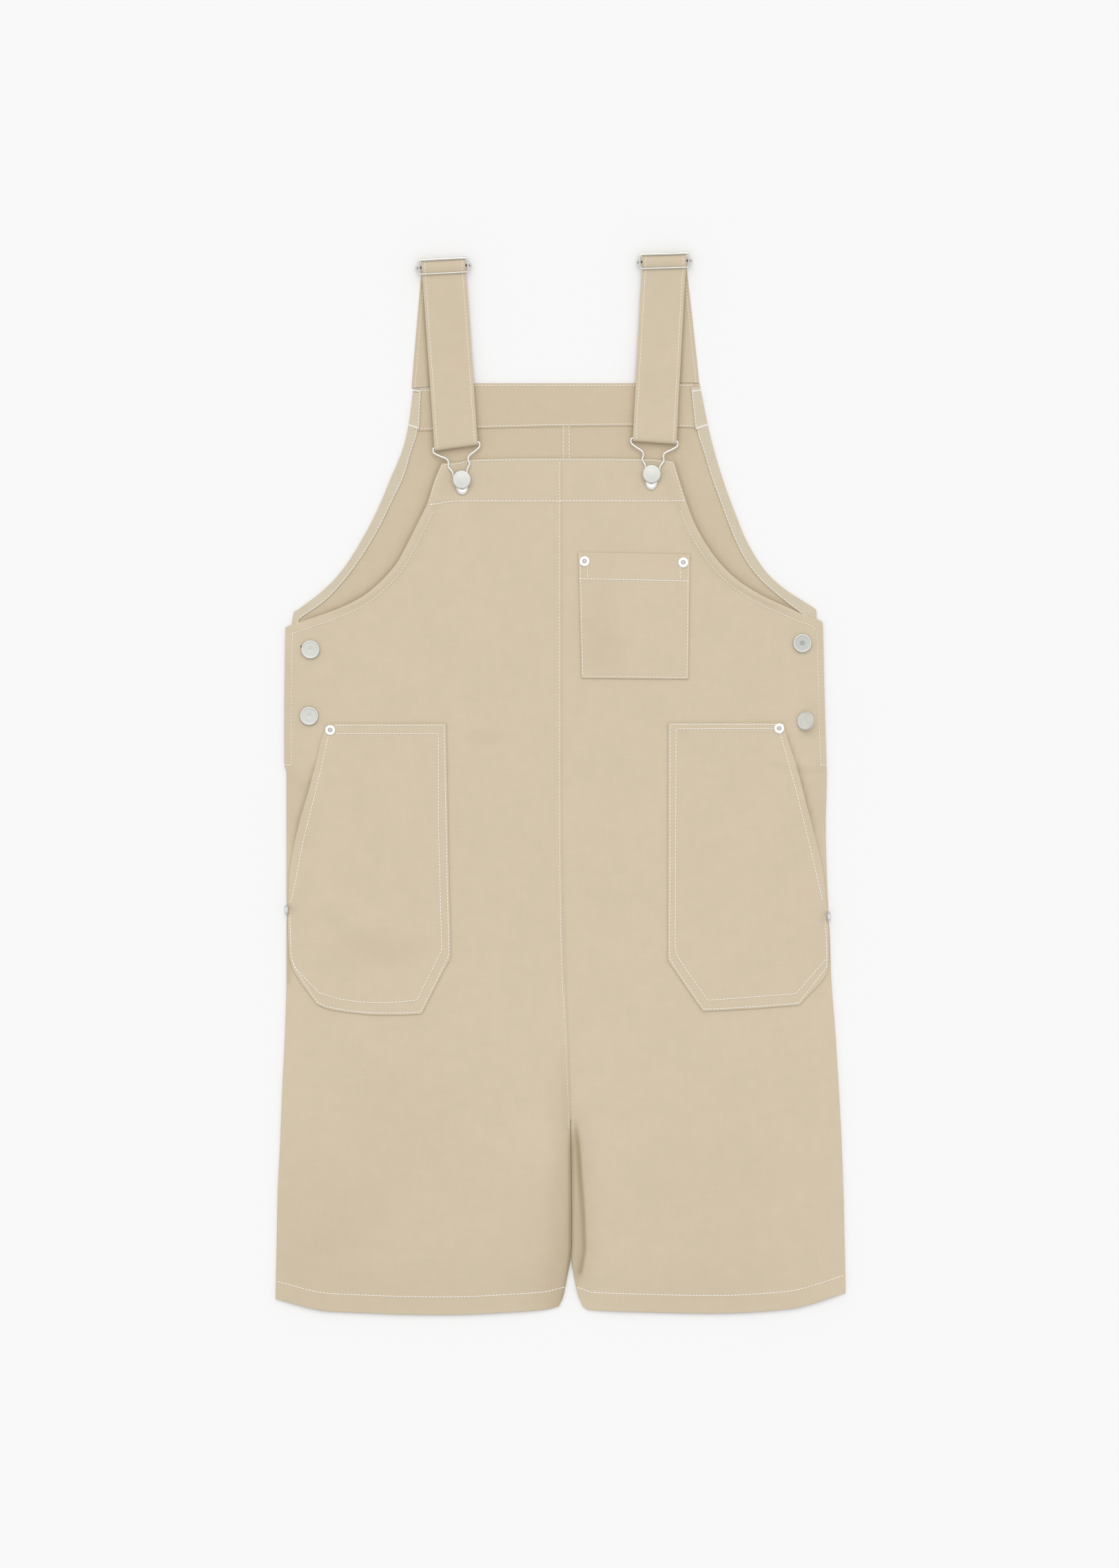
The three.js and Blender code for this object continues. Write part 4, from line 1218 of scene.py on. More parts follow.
# %% Outlines of the hip pockets
HIP_ROWS = {
    "left": table("y outer inner", [
        [55, -206, -104.3], [50.5, -214.8, -104.3], [16, -224.3, -103.6], [-8, -230.6, -103.2],
        [-31, -237.4, -102.8], [-63, -244.8, -102.2], [-82, -247.9, -101.8], [-105, -248.8, -101.3],
        [-115, -249.2, -101], [-157, -248, -100.2], [-170, -244.8, -107], [-206, -223.1, -126.7]]),
    "right": table("y outer inner", [
        [55.8, 203.8, 98.2], [47.6, 205.6, 98.2], [16, 215.5, 98.1], [-19, 224.7, 98],
        [-36, 229.3, 98], [-66, 237, 97.9], [-80, 240, 97.9], [-109, 243, 97.9],
        [-121, 244.6, 97.8], [-160, 245.2, 97.8], [-169, 244.8, 103.7], [-205, 218.3, 129.9]])}
HIP_FOOT = {
    "left": table("x y", [[-224, -201], [-211, -206.2], [-190, -209.5], [-169, -211.2], [-148, -211.3],
                          [-126.7, -210.4]]),
    "right": table("x y", [[129.9, -208.1], [175, -205.6], [218.3, -202.2]])}
HIP_SECOND = {
    "left": [(-205, 45.8), (-111.6, 45.8), (-111.4, -39.4), (-108.5, -152), (-131.2, -197.8),
             (-159.7, -200.3), (-183.4, -199.5), (-203.8, -196.2), (-221, -190.6), (-241.8, -168.7),
             (-245.4, -160.3)],
    "right": [(194.4, 50.4), (105.5, 50.1), (104.7, -148.6), (106.3, -157.6), (134.3, -197.9),
              (215, -191.8), (242.2, -160.4)]}
HIP_SLANT = {
    "left": [(-212, 43.2), (-222.7, -4.1), (-235.3, -54.5), (-244.1, -99.9), (-246.8, -109.3)],
    "right": [(200.3, 46.6), (215, -6), (227.2, -55.6), (239.4, -107)]}
print("rows for the hip pockets:", {name: len(rows["y"]) for name, rows in HIP_ROWS.items()})

# %% [markdown]
# A patch pocket needs four things: its two side tracks, the curve of its foot, the height it lies at
# and its stitch lines. The slanted opening stands off the front most near its middle, because nothing
# is sewn there.

# %% Shape of a hip pocket
FOOT_START = -157
GAPE = {"left": -30, "right": -10, "reach": 52, "depth": 26, "height": 2.1}
POCKET_LIFT = 0.12
SLANT_HIGH, SLANT_LOW = -45, -95
POCKET_STITCH = 1.9


def hip_parts(half):
    """The pocket's rows, its outer and inner track, the flow of its foot and its height."""
    rows = HIP_ROWS[half.name]
    outer_track, inner_track = curve(rows, "y", "outer"), curve(rows, "y", "inner")
    foot = curve(HIP_FOOT[half.name], "x", "y")
    last = rows["y"][-1]

    def outer(y):
        seam = half.front_edge(y) - half.sign * GAP
        return half.sign * np.minimum(half.sign * outer_track(y), half.sign * seam)

    def flow(x, y):
        stretch = (foot(x) - FOOT_START) / (last - FOOT_START)
        return np.where(y > FOOT_START, y, FOOT_START + (y - FOOT_START) * stretch)

    def under(x, y):
        along = ease(1 - np.abs(y - GAPE[half.name]) / GAPE["reach"])
        from_edge = half.sign * (outer_track(y) - x)
        gape = GAPE["height"] * along * ease(1 - from_edge / GAPE["depth"])
        return front_top(half, x, y) + POCKET_LIFT + gape

    return rows, outer, inner_track, flow, under


def hip_border(half):
    """The pocket's outline from its top outer corner, down the inner side and round to the slant."""
    rows, outer, inner, flow, _ = hip_parts(half)
    start, last = rows["y"][0], rows["y"][-1]
    y = np.array([v for v in rows["y"] if v > SLANT_HIGH or v < SLANT_LOW])
    inner_side = np.stack([inner(y), flow(inner(y), y)], 1)
    across_foot = np.linspace(inner(last), outer(last), 12)[1:-1]
    foot_side = np.stack([across_foot, flow(across_foot, np.full(10, last))], 1)
    up = y[y < SLANT_LOW][::-1]
    outer_side = np.stack([outer(up), flow(outer(up), up)], 1)
    return np.vstack([[(float(outer(start)), start)], inner_side, foot_side, outer_side])


def hip_lines(half):
    border = hip_border(half)
    return {"edge": inset(border, half.sign * POCKET_STITCH)[:-1],
            "second": np.array(HIP_SECOND[half.name]), "slant": np.array(HIP_SLANT[half.name])}


HIP_LINES = {half.name: hip_lines(half) for half in HALVES}
for name, lines in HIP_LINES.items():
    print(name, "hip pocket stitch lines, points:", [len(line) for line in lines.values()])

# %% [markdown]
# The pocket itself is the grid between its two tracks, with the foot drawn down to its curve. It lies on
# the front's own height, so the folds below it show through, and its edges are turned in all round.

# %% Hip pockets
POCKET_WALL = CLOTH - 0.05
HIP_TURNING = 9.0


def make_hip_pocket(half):
    table_rows, outer, inner, flow, under = hip_parts(half)
    rows = heights(table_rows["y"].min(), table_rows["y"].max(), 3.2, list(table_rows["y"]))
    grid = plan_grid(rows, inner, outer, 3.2, flow)
    lines = HIP_LINES[half.name]
    border = hip_border(half)

    def turned(x, y):
        return distance_to([np.vstack([border, border[:1]])], x, y) - HIP_TURNING

    piece = shell(f"hip_pocket_cloth_{half.name}", grid, under, POCKET_WALL, face_drill,
                  f"hip_pocket_{half.name}", list(lines.values()), turned)
    declare(grid)
    return piece


for half in HALVES:
    make_hip_pocket(half)

# %% [markdown]
# ## Chest pocket
# The chest pocket is nearly square with a deep turned top. Its four corners are enough: the grid is
# drawn out between them. Two short upright lines below the rivets fasten the turned top.

# %% Chest pocket
CHEST = {"top_left": (16.1, 211.4), "top_right": (118.1, 209.5),
         "bottom_left": (19, 96.4), "bottom_right": (116.9, 95.4)}
CHEST_SPAN = 116
CHEST_STITCH = 1.5
CHEST_TURNING = 6.0


def make_chest_pocket():
    inner_steps = np.linspace(RIM[-1], CHEST_SPAN - RIM[-1], 36)[1:-1]
    steps = np.concatenate([RIM, inner_steps, CHEST_SPAN - RIM[::-1]])
    share = steps / CHEST_SPAN
    corners = {key: np.array(place) for key, place in CHEST.items()}
    low = corners["bottom_left"] + (corners["bottom_right"] - corners["bottom_left"]) * share[:, None]
    high = corners["top_left"] + (corners["top_right"] - corners["top_left"]) * share[:, None]
    points = low[None] + (high - low)[None] * share[:, None, None]
    rim_line = np.minimum(steps, CHEST_SPAN - steps)
    rim = np.minimum(rim_line[:, None], rim_line[None, :])
    grid = points[..., 0], points[..., 1], rim
    border = np.array([corners[key] for key in ("top_left", "bottom_left", "bottom_right", "top_right")])
    sides = inset(border, CHEST_STITCH)
    hem = np.array([corners["top_left"] + (0.6, -24.2), corners["top_right"] + (-0.4, -24.4)])
    ticks = [np.array([(109.2, 198.5), (109.3, 186.5)]), np.array([(24.4, 199), (24.6, 187.5)])]

    def turned(x, y):
        hem_y = hem[0, 1] + (hem[1, 1] - hem[0, 1]) * (x - hem[0, 0]) / (hem[1, 0] - hem[0, 0])
        return np.minimum(hem_y - y, distance_to([border], x, y) - CHEST_TURNING)

    piece = shell("chest_pocket_cloth", grid, lambda x, y: front_top(right, x, y) + POCKET_LIFT,
                  POCKET_WALL, face_drill, "chest_pocket", [sides, hem, *ticks], turned)
    declare(grid)
    return [sides, hem, *ticks]


CHEST_LINES = make_chest_pocket()
print("chest pocket stitch lines:", len(CHEST_LINES))

# %% [markdown]
# ## Straps
# A strap is one long strip, folded and stitched along both sides. It leaves the back's top edge, turns
# over at the slider, runs down the front, goes round the hook's bar and comes back up to the slider.
# A curve object with a bevel would twist at the turns, so the route is a short list of stops, each
# with its own direction across, and the strip's section is carried along it.

# %% Stops of a strap
STRAP_WALL = 1.6
STRAP_SEAM = 3.0
WIRE_RADIUS = 1
HOOK_BAR_HEIGHT = 5.9
BACK_STOPS = 6
HOOK_STOPS = 8
OVER_SLIDER = [(3.6, 0.8), (5.6, 1.1), (6.8, 2.1), (6.8, 3.3), (5.8, 4.4), (4.2, 5.5), (2.2, 6.3), (0, 6.6),
               (-2.2, 6.3), (-4.5, 5.4), (-6.5, 4.7)]
RUNS = [(0.08, 4.8, 2.8), (0.48, 4.8, 2.8), (0.62, 5.8, 3.8), (0.84, 6.1, 3.8), (0.93, 7.2, 3.8),
        (0.98, 8, 3.8)]
STRAP_TUCK = [(-7.5, 2.78), (-6.2, 2.78), (-4, 3.3), (-1.7, 4.2)]
UP = np.array([0, 0, 1.0])


def plan_axes(turn):
    """The directions across and along something that is turned in the plan."""
    angle = math.radians(turn)
    side = np.array([math.cos(angle), math.sin(angle), 0])
    return side, np.array([-side[1], side[0], 0])


def strap_stops(half):
    """Places of the strap's middle, each with the direction across the strap."""
    slider, hook, end = (np.array([*p[:2], 0.0]) for p in (half.slider, half.hook, half.strap_end))
    slider_turn, hook_turn, end_turn = half.slider[2], half.hook[2], half.strap_end[2]
    stops = []

    def stop(place, height, turn):
        stops.append((place + UP * height, plan_axes(turn)[0]))

    def stop_between(share, height):
        stop(slider + (hook - slider) * share, height, slider_turn + (hook_turn - slider_turn) * share)

    for share in np.arange(BACK_STOPS) / BACK_STOPS:
        stop(end + (slider - end) * share, STRAP_WALL / 2, end_turn + (slider_turn - end_turn) * share)
    for along, height in OVER_SLIDER:
        stop(slider + plan_axes(slider_turn)[1] * along, height, slider_turn)
    for share, height, _ in RUNS:
        stop_between(share, height)
    radius = WIRE_RADIUS + GAP + STRAP_WALL / 2
    for i in range(HOOK_STOPS + 1):
        angle = math.pi / 2 - math.pi * i / HOOK_STOPS
        place = hook - plan_axes(hook_turn)[1] * radius * math.cos(angle)
        stop(place, HOOK_BAR_HEIGHT + radius * math.sin(angle), hook_turn)
    for share, _, height in RUNS[::-1]:
        stop_between(share, height)
    for along, height in STRAP_TUCK:
        stop(slider + plan_axes(slider_turn)[1] * along, height, slider_turn)
    return stops


print("stops of the left strap:", len(strap_stops(left)))

# %% [markdown]
# Straight stretches between stops get extra points, and two rounds of averaging take the corners off.
# At each point the direction across and the direction along give the strip's face.

# %% Route and section of a strap
def smooth_route(stops, step):
    """A denser route through the stops, straight between them where they lie far apart."""
    places = np.array([s[0] for s in stops])
    sides = np.array([s[1] for s in stops])
    lengths = np.linalg.norm(np.diff(places, axis=0), axis=1)
    at = np.concatenate([[0], np.cumsum(lengths)])
    stretches = [np.linspace(at[i], at[i + 1], max(2, int(length / step) + 1))
                 for i, length in enumerate(lengths)]
    dense = np.unique(np.concatenate(stretches))
    route = np.stack([np.interp(dense, at, places[:, k]) for k in range(3)], 1)
    side = np.stack([np.interp(dense, at, sides[:, k]) for k in range(3)], 1)
    for _ in range(2):
        route[1:-1] = 0.25 * route[:-2] + 0.5 * route[1:-1] + 0.25 * route[2:]
    side /= np.linalg.norm(side, axis=1)[:, None]
    along = np.gradient(route, axis=0)
    along /= np.linalg.norm(along, axis=1)[:, None]
    face = np.cross(side, along)
    face /= np.linalg.norm(face, axis=1)[:, None]
    return dense, route, side, face


def strap_section():
    """The outline across the strap: each point is a place across and a height above its middle."""
    edge, reach = STRAP_WALL / 2, STRAP_WIDTH / 2
    corner = [(-reach + edge * (1 - math.cos(a)), edge * math.sin(a))
              for a in np.linspace(0.12, math.pi / 2, 5)]
    inner = [(x, edge) for x in np.linspace(-reach + STRAP_WALL, reach - STRAP_WALL, 19)]
    upper = corner + inner + [(-x, z) for x, z in reversed(corner)]
    return np.array(upper + [(x, -z) for x, z in reversed(upper)])


print("points round a strap:", len(strap_section()))

# %% [markdown]
# The strap's sides are paler or darker as the light falls on them. A narrow band of painted shade runs
# down both sides of the lower layer, a little painted shade lies over all of it, and the left strap as
# a whole is a trace darker than the right one.

# %% Straps
ROUTE_STEP = 1.6
STRAP_SHADE = {"left": 0.012, "right": 0.002}
# Painted shade on the strap's lower layer: a band along both sides and a little over all of it.
RIM_SHADE = {"reach": 4.5, "share": 0.20, "all_over": 0.03}
LOWER_LAYER = 2.4


def make_strap(half):
    dense, route, side, face = smooth_route(strap_stops(half), ROUTE_STEP)
    section = strap_section()
    count, ring = len(route), len(section)
    wobble = 0.12 * drift(dense, dense * 0, 23, 31 + half.sign)
    swell = 1 + 0.06 * drift(dense[:, None], section[None, :, 0], 15, 12)
    points = (route[:, None] + side[:, None] * (section[None, :, 0, None] + wobble[:, None, None])
              + face[:, None] * (section[None, :, 1] * swell)[..., None])
    body = grid_faces(count, ring + 1)
    body = np.where(body % (ring + 1) == ring, body - ring, body)
    body = body - body // (ring + 1)
    faces = body.tolist() + [list(range(ring)), list(range((count - 1) * ring, count * ring))[::-1]]
    points = points.reshape(-1, 3)
    piece = link_piece(f"strap_cloth_{half.name}", points, faces, [strap_drill],
                       f"strap_{half.name}")
    seam = np.abs(STRAP_WIDTH / 2 - STRAP_SEAM - np.abs(section[:, 0]))
    # Painted shade on the lower layer, from the strap's edges inwards.
    low = ease((LOWER_LAYER - route[:, 2]) / 1.2) * ease((half.slider[1] - 8 - route[:, 1]) / 8)
    rims = [(line, RIM_SHADE["reach"], RIM_SHADE["share"]) for line in half.strap_edges()]
    tone = np.repeat(low, ring) * (RIM_SHADE["all_over"] + crease_shade(rims, *points.T[:2]))
    store_values(piece, {"seam": np.tile(seam, count), "turned": np.full(ring * count, FAR),
                         "tone": tone + STRAP_SHADE[half.name]})
    return dense, route, side, face


STRAP_ROUTES = {half.name: make_strap(half) for half in HALVES}

# %% [markdown]
# ## Bent wire
# Hooks and slider frames are bent from wire and beaten flat in places. A round section is carried
# round a closed route, and where the wire is beaten it gets wider in the plan and thinner in height.

# %% Bent wire
def wire_loop(name, route, normal, radius, node, metal, widen=None, sides=16):
    """A wire on a closed route. Where widen is above 1 it is beaten flat and wider."""
    count = len(route)
    widen = np.ones(count) if widen is None else widen
    along = np.roll(route, -1, 0) - np.roll(route, 1, 0)
    out = np.cross(along, normal)
    out /= np.linalg.norm(out, axis=1)[:, None]
    angle = np.linspace(0, 2 * math.pi, sides, endpoint=False)
    wide, tall = widen[:, None] * np.cos(angle), np.sin(angle) / np.sqrt(widen)[:, None]
    ring = out[:, None] * wide[..., None] + normal * tall[..., None]
    points = (route[:, None] + radius * ring).reshape(-1, 3)
    i, k = np.meshgrid(np.arange(count), np.arange(sides), indexing="ij")
    j, m = (i + 1) % count, (k + 1) % sides
    faces = np.stack([i * sides + k, j * sides + k, j * sides + m, i * sides + m], -1).reshape(-1, 4)
    return link_piece(name, points, faces.tolist(), [metal], node)


def closed_curve(stops, steps):
    """A smooth closed route through stops, evenly spaced."""
    stops = np.asarray(stops, float)
    p0, p1, p2, p3 = (np.roll(stops, k, 0) for k in (1, 0, -1, -2))
    t = np.linspace(0, 1, 24, endpoint=False)[None, :, None]
    level, slope, square, cube = (part[:, None] for part in (
        2 * p1, p2 - p0, 2 * p0 - 5 * p1 + 4 * p2 - p3, 3 * p1 - p0 - 3 * p2 + p3))
    points = 0.5 * (level + slope * t + square * t**2 + cube * t**3)
    points = points.reshape(-1, stops.shape[1])
    closed = np.vstack([points, points[:1]])
    at = np.concatenate([[0], np.cumsum(np.linalg.norm(np.diff(closed, axis=0), axis=1))])
    even = np.linspace(0, at[-1], steps, endpoint=False)
    return np.stack([np.interp(even, at, closed[:, k]) for k in range(closed.shape[1])], 1)


print("a closed route through four stops:", closed_curve([(0, 0), (1, 0), (1, 1), (0, 1)], 12).shape)

# %% [markdown]
# ## Turned shapes
# Buttons, rivets and slider bars are round about an axis, so a profile is spun about it, as on a lathe.
# Bands of the profile can have metals of their own, because a rim wears differently from a face.

# %% Turned shapes
def turned_piece(name, profile, place, finishes, node, tilt=0.0, spin=0.0, along_x=False, sides=56,
                 parts=None):
    """Spin a profile of (radius, height) about its axis, then lean and place it."""
    profile = np.array(profile, float)
    inner = profile[1:-1]
    angle = np.linspace(0, 2 * math.pi, sides, endpoint=False)
    rings = np.stack([inner[:, 0, None] * np.cos(angle), inner[:, 0, None] * np.sin(angle),
                      np.broadcast_to(inner[:, 1, None], (len(inner), sides))], -1).reshape(-1, 3)
    points = np.vstack([rings, [[0, 0, profile[0, 1]], [0, 0, profile[-1, 1]]]])
    faces, bands = [], []
    for r in range(len(inner) - 1):
        for k in range(sides):
            m = (k + 1) % sides
            faces.append([r * sides + k, r * sides + m, (r + 1) * sides + m, (r + 1) * sides + k])
            bands.append(r + 1)
    low, high, last = len(rings), len(rings) + 1, (len(inner) - 1) * sides
    for k in range(sides):
        m = (k + 1) % sides
        faces += [[low, m, k], [high, last + k, last + m]]
        bands += [0, len(inner)]
    if along_x:
        points = points[:, [2, 0, 1]]
    lean = math.radians(tilt)
    x, z = points[:, 0].copy(), points[:, 2].copy()
    points[:, 0] = x * math.cos(lean) + z * math.sin(lean)
    points[:, 2] = z * math.cos(lean) - x * math.sin(lean)
    side, up = plan_axes(spin)
    points = points[:, :1] * side + points[:, 1:2] * up + points[:, 2:] * UP
    points = points + np.array(place)
    chosen = None if parts is None else [parts(band) for band in bands]
    return link_piece(name, points, faces, finishes, node, chosen)


def arc(centre, radius, start, end, steps):
    """Points of a round stretch of a profile, in degrees."""
    return [(centre[0] + radius * math.cos(math.radians(a)), centre[1] + radius * math.sin(math.radians(a)))
            for a in np.linspace(start, end, steps)]


print("points of a quarter circle:", len(arc((0, 0), 1, 0, 90, 9)))

# %% [markdown]
# ## Hooks
# The wire of a hook runs from the strap's bar round two shoulders, narrows to a slot for the button and
# closes in a flattened tip. Half of it is listed, and the other half is its mirror image.

# %% Hooks
HOOK_LENGTH = 43.2
HOOK_DROP = 1.6
HOOK_STEPS = 190
TIP_START, TIP_REACH, TIP_SPREAD = 36.0, 2.6, 1.7
HOOK_WIRE = [(0, 0), (12, 0), (19.9, 0.1), (21.3, 1.7), (20.8, 4.6), (16.6, 7.7), (10.6, 11.2), (9.1, 14.6),
             (9.7, 18.9), (6.6, 24.4), (6.6, 31), (5.2, 35.6), (3.0, 38.6), (2.5, 41.0), (1.5, 42.6),
             (0, HOOK_LENGTH)]


def make_hook(half):
    side, up = plan_axes(half.hook[2])
    slope = HOOK_DROP / HOOK_LENGTH
    origin = np.array([*half.hook[:2], HOOK_BAR_HEIGHT])
    outline = HOOK_WIRE[1:] + [(-out, down) for out, down in HOOK_WIRE[::-1][1:]]
    stops = [origin + side * out - up * down - UP * slope * down for out, down in outline]
    route = closed_curve(stops, HOOK_STEPS)
    normal = UP - up * slope
    normal /= np.linalg.norm(normal)
    down = -(route - origin) @ up
    return wire_loop(f"hook_wire_{half.name}", route, normal, WIRE_RADIUS, f"hook_{half.name}", wire_metal,
                     1 + TIP_SPREAD * ease((down - TIP_START) / TIP_REACH))


for half in HALVES:
    print(make_hook(half).name, "bent")

# %% [markdown]
# ## Sliders
# A slider is a flat wire frame over the strap with a loose bar under it, which ends in a small knob on
# each side. The frame is a rectangle with round corners, a little flattened along its top wire. The bar
# and its knobs are one profile, spun about the bar's own axis.

# %% Sliders
SLIDER_HALF_WIDTH = 22.4
SLIDER_HALF_LENGTH = 6.5
SLIDER_HEIGHT = 6.8
SLIDER_BAR_HEIGHT = SLIDER_HEIGHT - 2 * WIRE_RADIUS - GAP
SLIDER_RADIUS = 0.85
SLIDER_CORNER = 2.2
SLIDER_SPREAD = 0.4


def make_slider_frame(half):
    side, up = plan_axes(half.slider[2])
    origin = np.array([*half.slider[:2], SLIDER_HEIGHT])
    wide, long = SLIDER_HALF_WIDTH - SLIDER_CORNER, SLIDER_HALF_LENGTH - SLIDER_CORNER
    stops = []
    for sx, sy, start in ((1, 1, 0), (-1, 1, 90), (-1, -1, 180), (1, -1, 270)):
        corner = arc((sx * wide, sy * long), SLIDER_CORNER, start, start + 90, 9)
        stops += [origin + side * x + up * y for x, y in corner]
    stops = np.array(stops)
    beyond = (stops - origin) @ up - long
    return wire_loop(f"slider_wire_{half.name}", stops, UP, SLIDER_RADIUS, f"slider_frame_{half.name}",
                     slider_metal, 1 + SLIDER_SPREAD * ease(beyond / SLIDER_CORNER))


def make_slider_bar(half):
    start = SLIDER_HALF_WIDTH + WIRE_RADIUS + GAP
    knob = [(WIRE_RADIUS, start), (1.5, start + 0.05)]
    knob += arc((0.6, start + 0.95), 1.0, -60, 90, 8) + [(0, start + 1.95)]
    profile = [(r, -h) for r, h in reversed(knob)] + knob
    place = (*half.slider[:2], SLIDER_BAR_HEIGHT)
    return turned_piece(f"slider_bar_turned_{half.name}", profile, place, [slider_metal],
                        f"slider_bar_{half.name}", spin=half.slider[2], along_x=True, sides=24)


for half in HALVES:
    print(make_slider_frame(half).name, "and", make_slider_bar(half).name)

# %% [markdown]
# ## Buttons
# The bib buttons are plain tack buttons with a nearly flat face and a rounded rim. The side buttons
# are a little dished inside a raised rim, and the lower right one leans on the folded edge. One has a
# worn, dull centre.

# %% Buttons
BUTTON_RADIUS = 8.5
BIB_BUTTON_TOP = 6.4
DISH_POINTS = 8
WORN_POINTS = 4


def bib_button(half):
    x, y = half.bib_button
    seat = float(front_top(half, np.array(x), np.array(y))) + 0.1
    head = BIB_BUTTON_TOP - seat
    face = [(7.2, 1.68), (6.2, 1.66), (5.0, 1.74), (3, 1.86), (1.4, 1.9), (0, 1.9)]
    profile = ([(0, 0), (3.8, 0), (4, 0.3), (2.6, 0.9), (2.6, head), (7.4, head)]
               + arc((7.7, head + 0.8), 0.8, -90, 80, 9) + [(r, head + h) for r, h in face])
    return turned_piece(f"bib_button_head_{half.name}", profile, (x, y, seat), [bib_metal],
                        f"bib_button_{half.name}")


def side_button(half, place, level):
    x, y, tilt = place
    lean, rim_height = math.radians(tilt), 1.0
    lift = max(0.0, BUTTON_RADIUS * math.sin(lean) - rim_height * math.cos(lean))
    seat = float(front_top(half, np.array(x), np.array(y))) + 0.25
    dish = [(7.2, 2.14), (6.7, 2.06), (6.0, 2.03), (4, 2.05), (2.4, 2.04), (1.6, 1.96), (0.8, 1.92),
            (0, 1.92)]
    profile = [(0, 0), (3, 0), (3, 0.5), (7.4, 0.6)] + arc((7.7, 1.4), 0.8, -90, 90, 11) + dish
    worn = half.sign > 0 and level == "upper"
    face_from, centre_from = len(profile) - DISH_POINTS, len(profile) - (WORN_POINTS if worn else 0)
    # The leaning button's face has painted light.
    face_metal = slant_lit_metal if tilt else side_metal[half.name]
    return turned_piece(f"side_button_head_{level}_{half.name}", profile, (x, y, seat + lift),
                        [rim_metal, face_metal, dull_metal], f"side_button_{level}_{half.name}",
                        tilt=-tilt, parts=lambda band: int(band >= face_from) + int(band >= centre_from))


for half in HALVES:
    bib_button(half)
    for place, level in zip(half.side_buttons, ("upper", "lower")):
        side_button(half, place, level)
print("six buttons turned")

# %% [markdown]
# ## Rivets
# A rivet is a bright domed ring round the darker end of its shank. Those at the side seams sit on the
# folded edge and lean far outwards, so that one sees them nearly from the side.

# %% Rivets
RIVET_RADIUS = 4.7
SIDE_RIVET_TILT = 70
RIVET_SEAT = 0.25
RIVET_PROFILE = ([(0, 0), (4.3, 0)] + arc((4.2, 0.45), 0.5, -80, 70, 7)
                 + [(3.4, 1.0), (2.3, 0.98), (1.8, 0.86), (1.6, 0.66), (1.35, 0.64), (1.15, 0.8), (0.8, 0.9),
                    (0.4, 0.86), (0, 0.84)])
CORE_POINTS = 8
CORE_FROM = len(RIVET_PROFILE) - CORE_POINTS


def rivet(name, node, place, tilt=0.0, metals=(rivet_metal, rivet_core)):
    return turned_piece(name, RIVET_PROFILE, place, metals, node, tilt=tilt, sides=40,
                        parts=lambda band: int(band >= CORE_FROM))


def on_pocket(half, x, y):
    return (x, y, float(front_top(half, np.array(x), np.array(y))) + CLOTH + RIVET_SEAT)


for half in HALVES:
    rivet(f"pocket_rivet_{half.name}", f"hip_pocket_rivet_{half.name}", on_pocket(half, *half.pocket_rivet))
    edge = float(half.front_edge(np.array(half.side_rivet))) + half.sign * (GAP + 0.1)
    centre = (edge, half.side_rivet, RIVET_RADIUS * math.sin(math.radians(SIDE_RIVET_TILT)) + GAP)
    rivet(f"seam_rivet_{half.name}", f"side_rivet_{half.name}", centre, half.sign * SIDE_RIVET_TILT,
          (seam_rivet_metal, rivet_metal))
for name, place in (("left", (21.9, 203)), ("right", (112.1, 201.9))):
    rivet(f"chest_rivet_{name}", f"chest_pocket_rivet_{name}", on_pocket(right, *place))
print("six rivets set")

# %% [markdown]
# ## Stitches
# Every stitch is a short rounded bar of thread, sunk at both ends where it goes into the cloth. A
# painted dashed line would look flat from the side. One function sews a line: it walks along it, lays a
# bar every few millimetres and follows the height of the cloth below. Bar tacks are the same bars, close
# together and across the line.

# %% Sewing
STITCH = 2.75
STITCH_PITCH = 3.2
THREAD = 0.42
STATIONS = np.array([0, 0.18, 0.5, 0.82, 1])
SWELL = np.array([0.35, 0.9, 1.0, 0.9, 0.35])
ARCH = np.array([-0.18, 0.06, 0.14, 0.06, -0.18])
SIDES = 6
THREAD_LIFT = 0.26
TACK_THREAD = 0.32
TACK_PITCH = 0.55


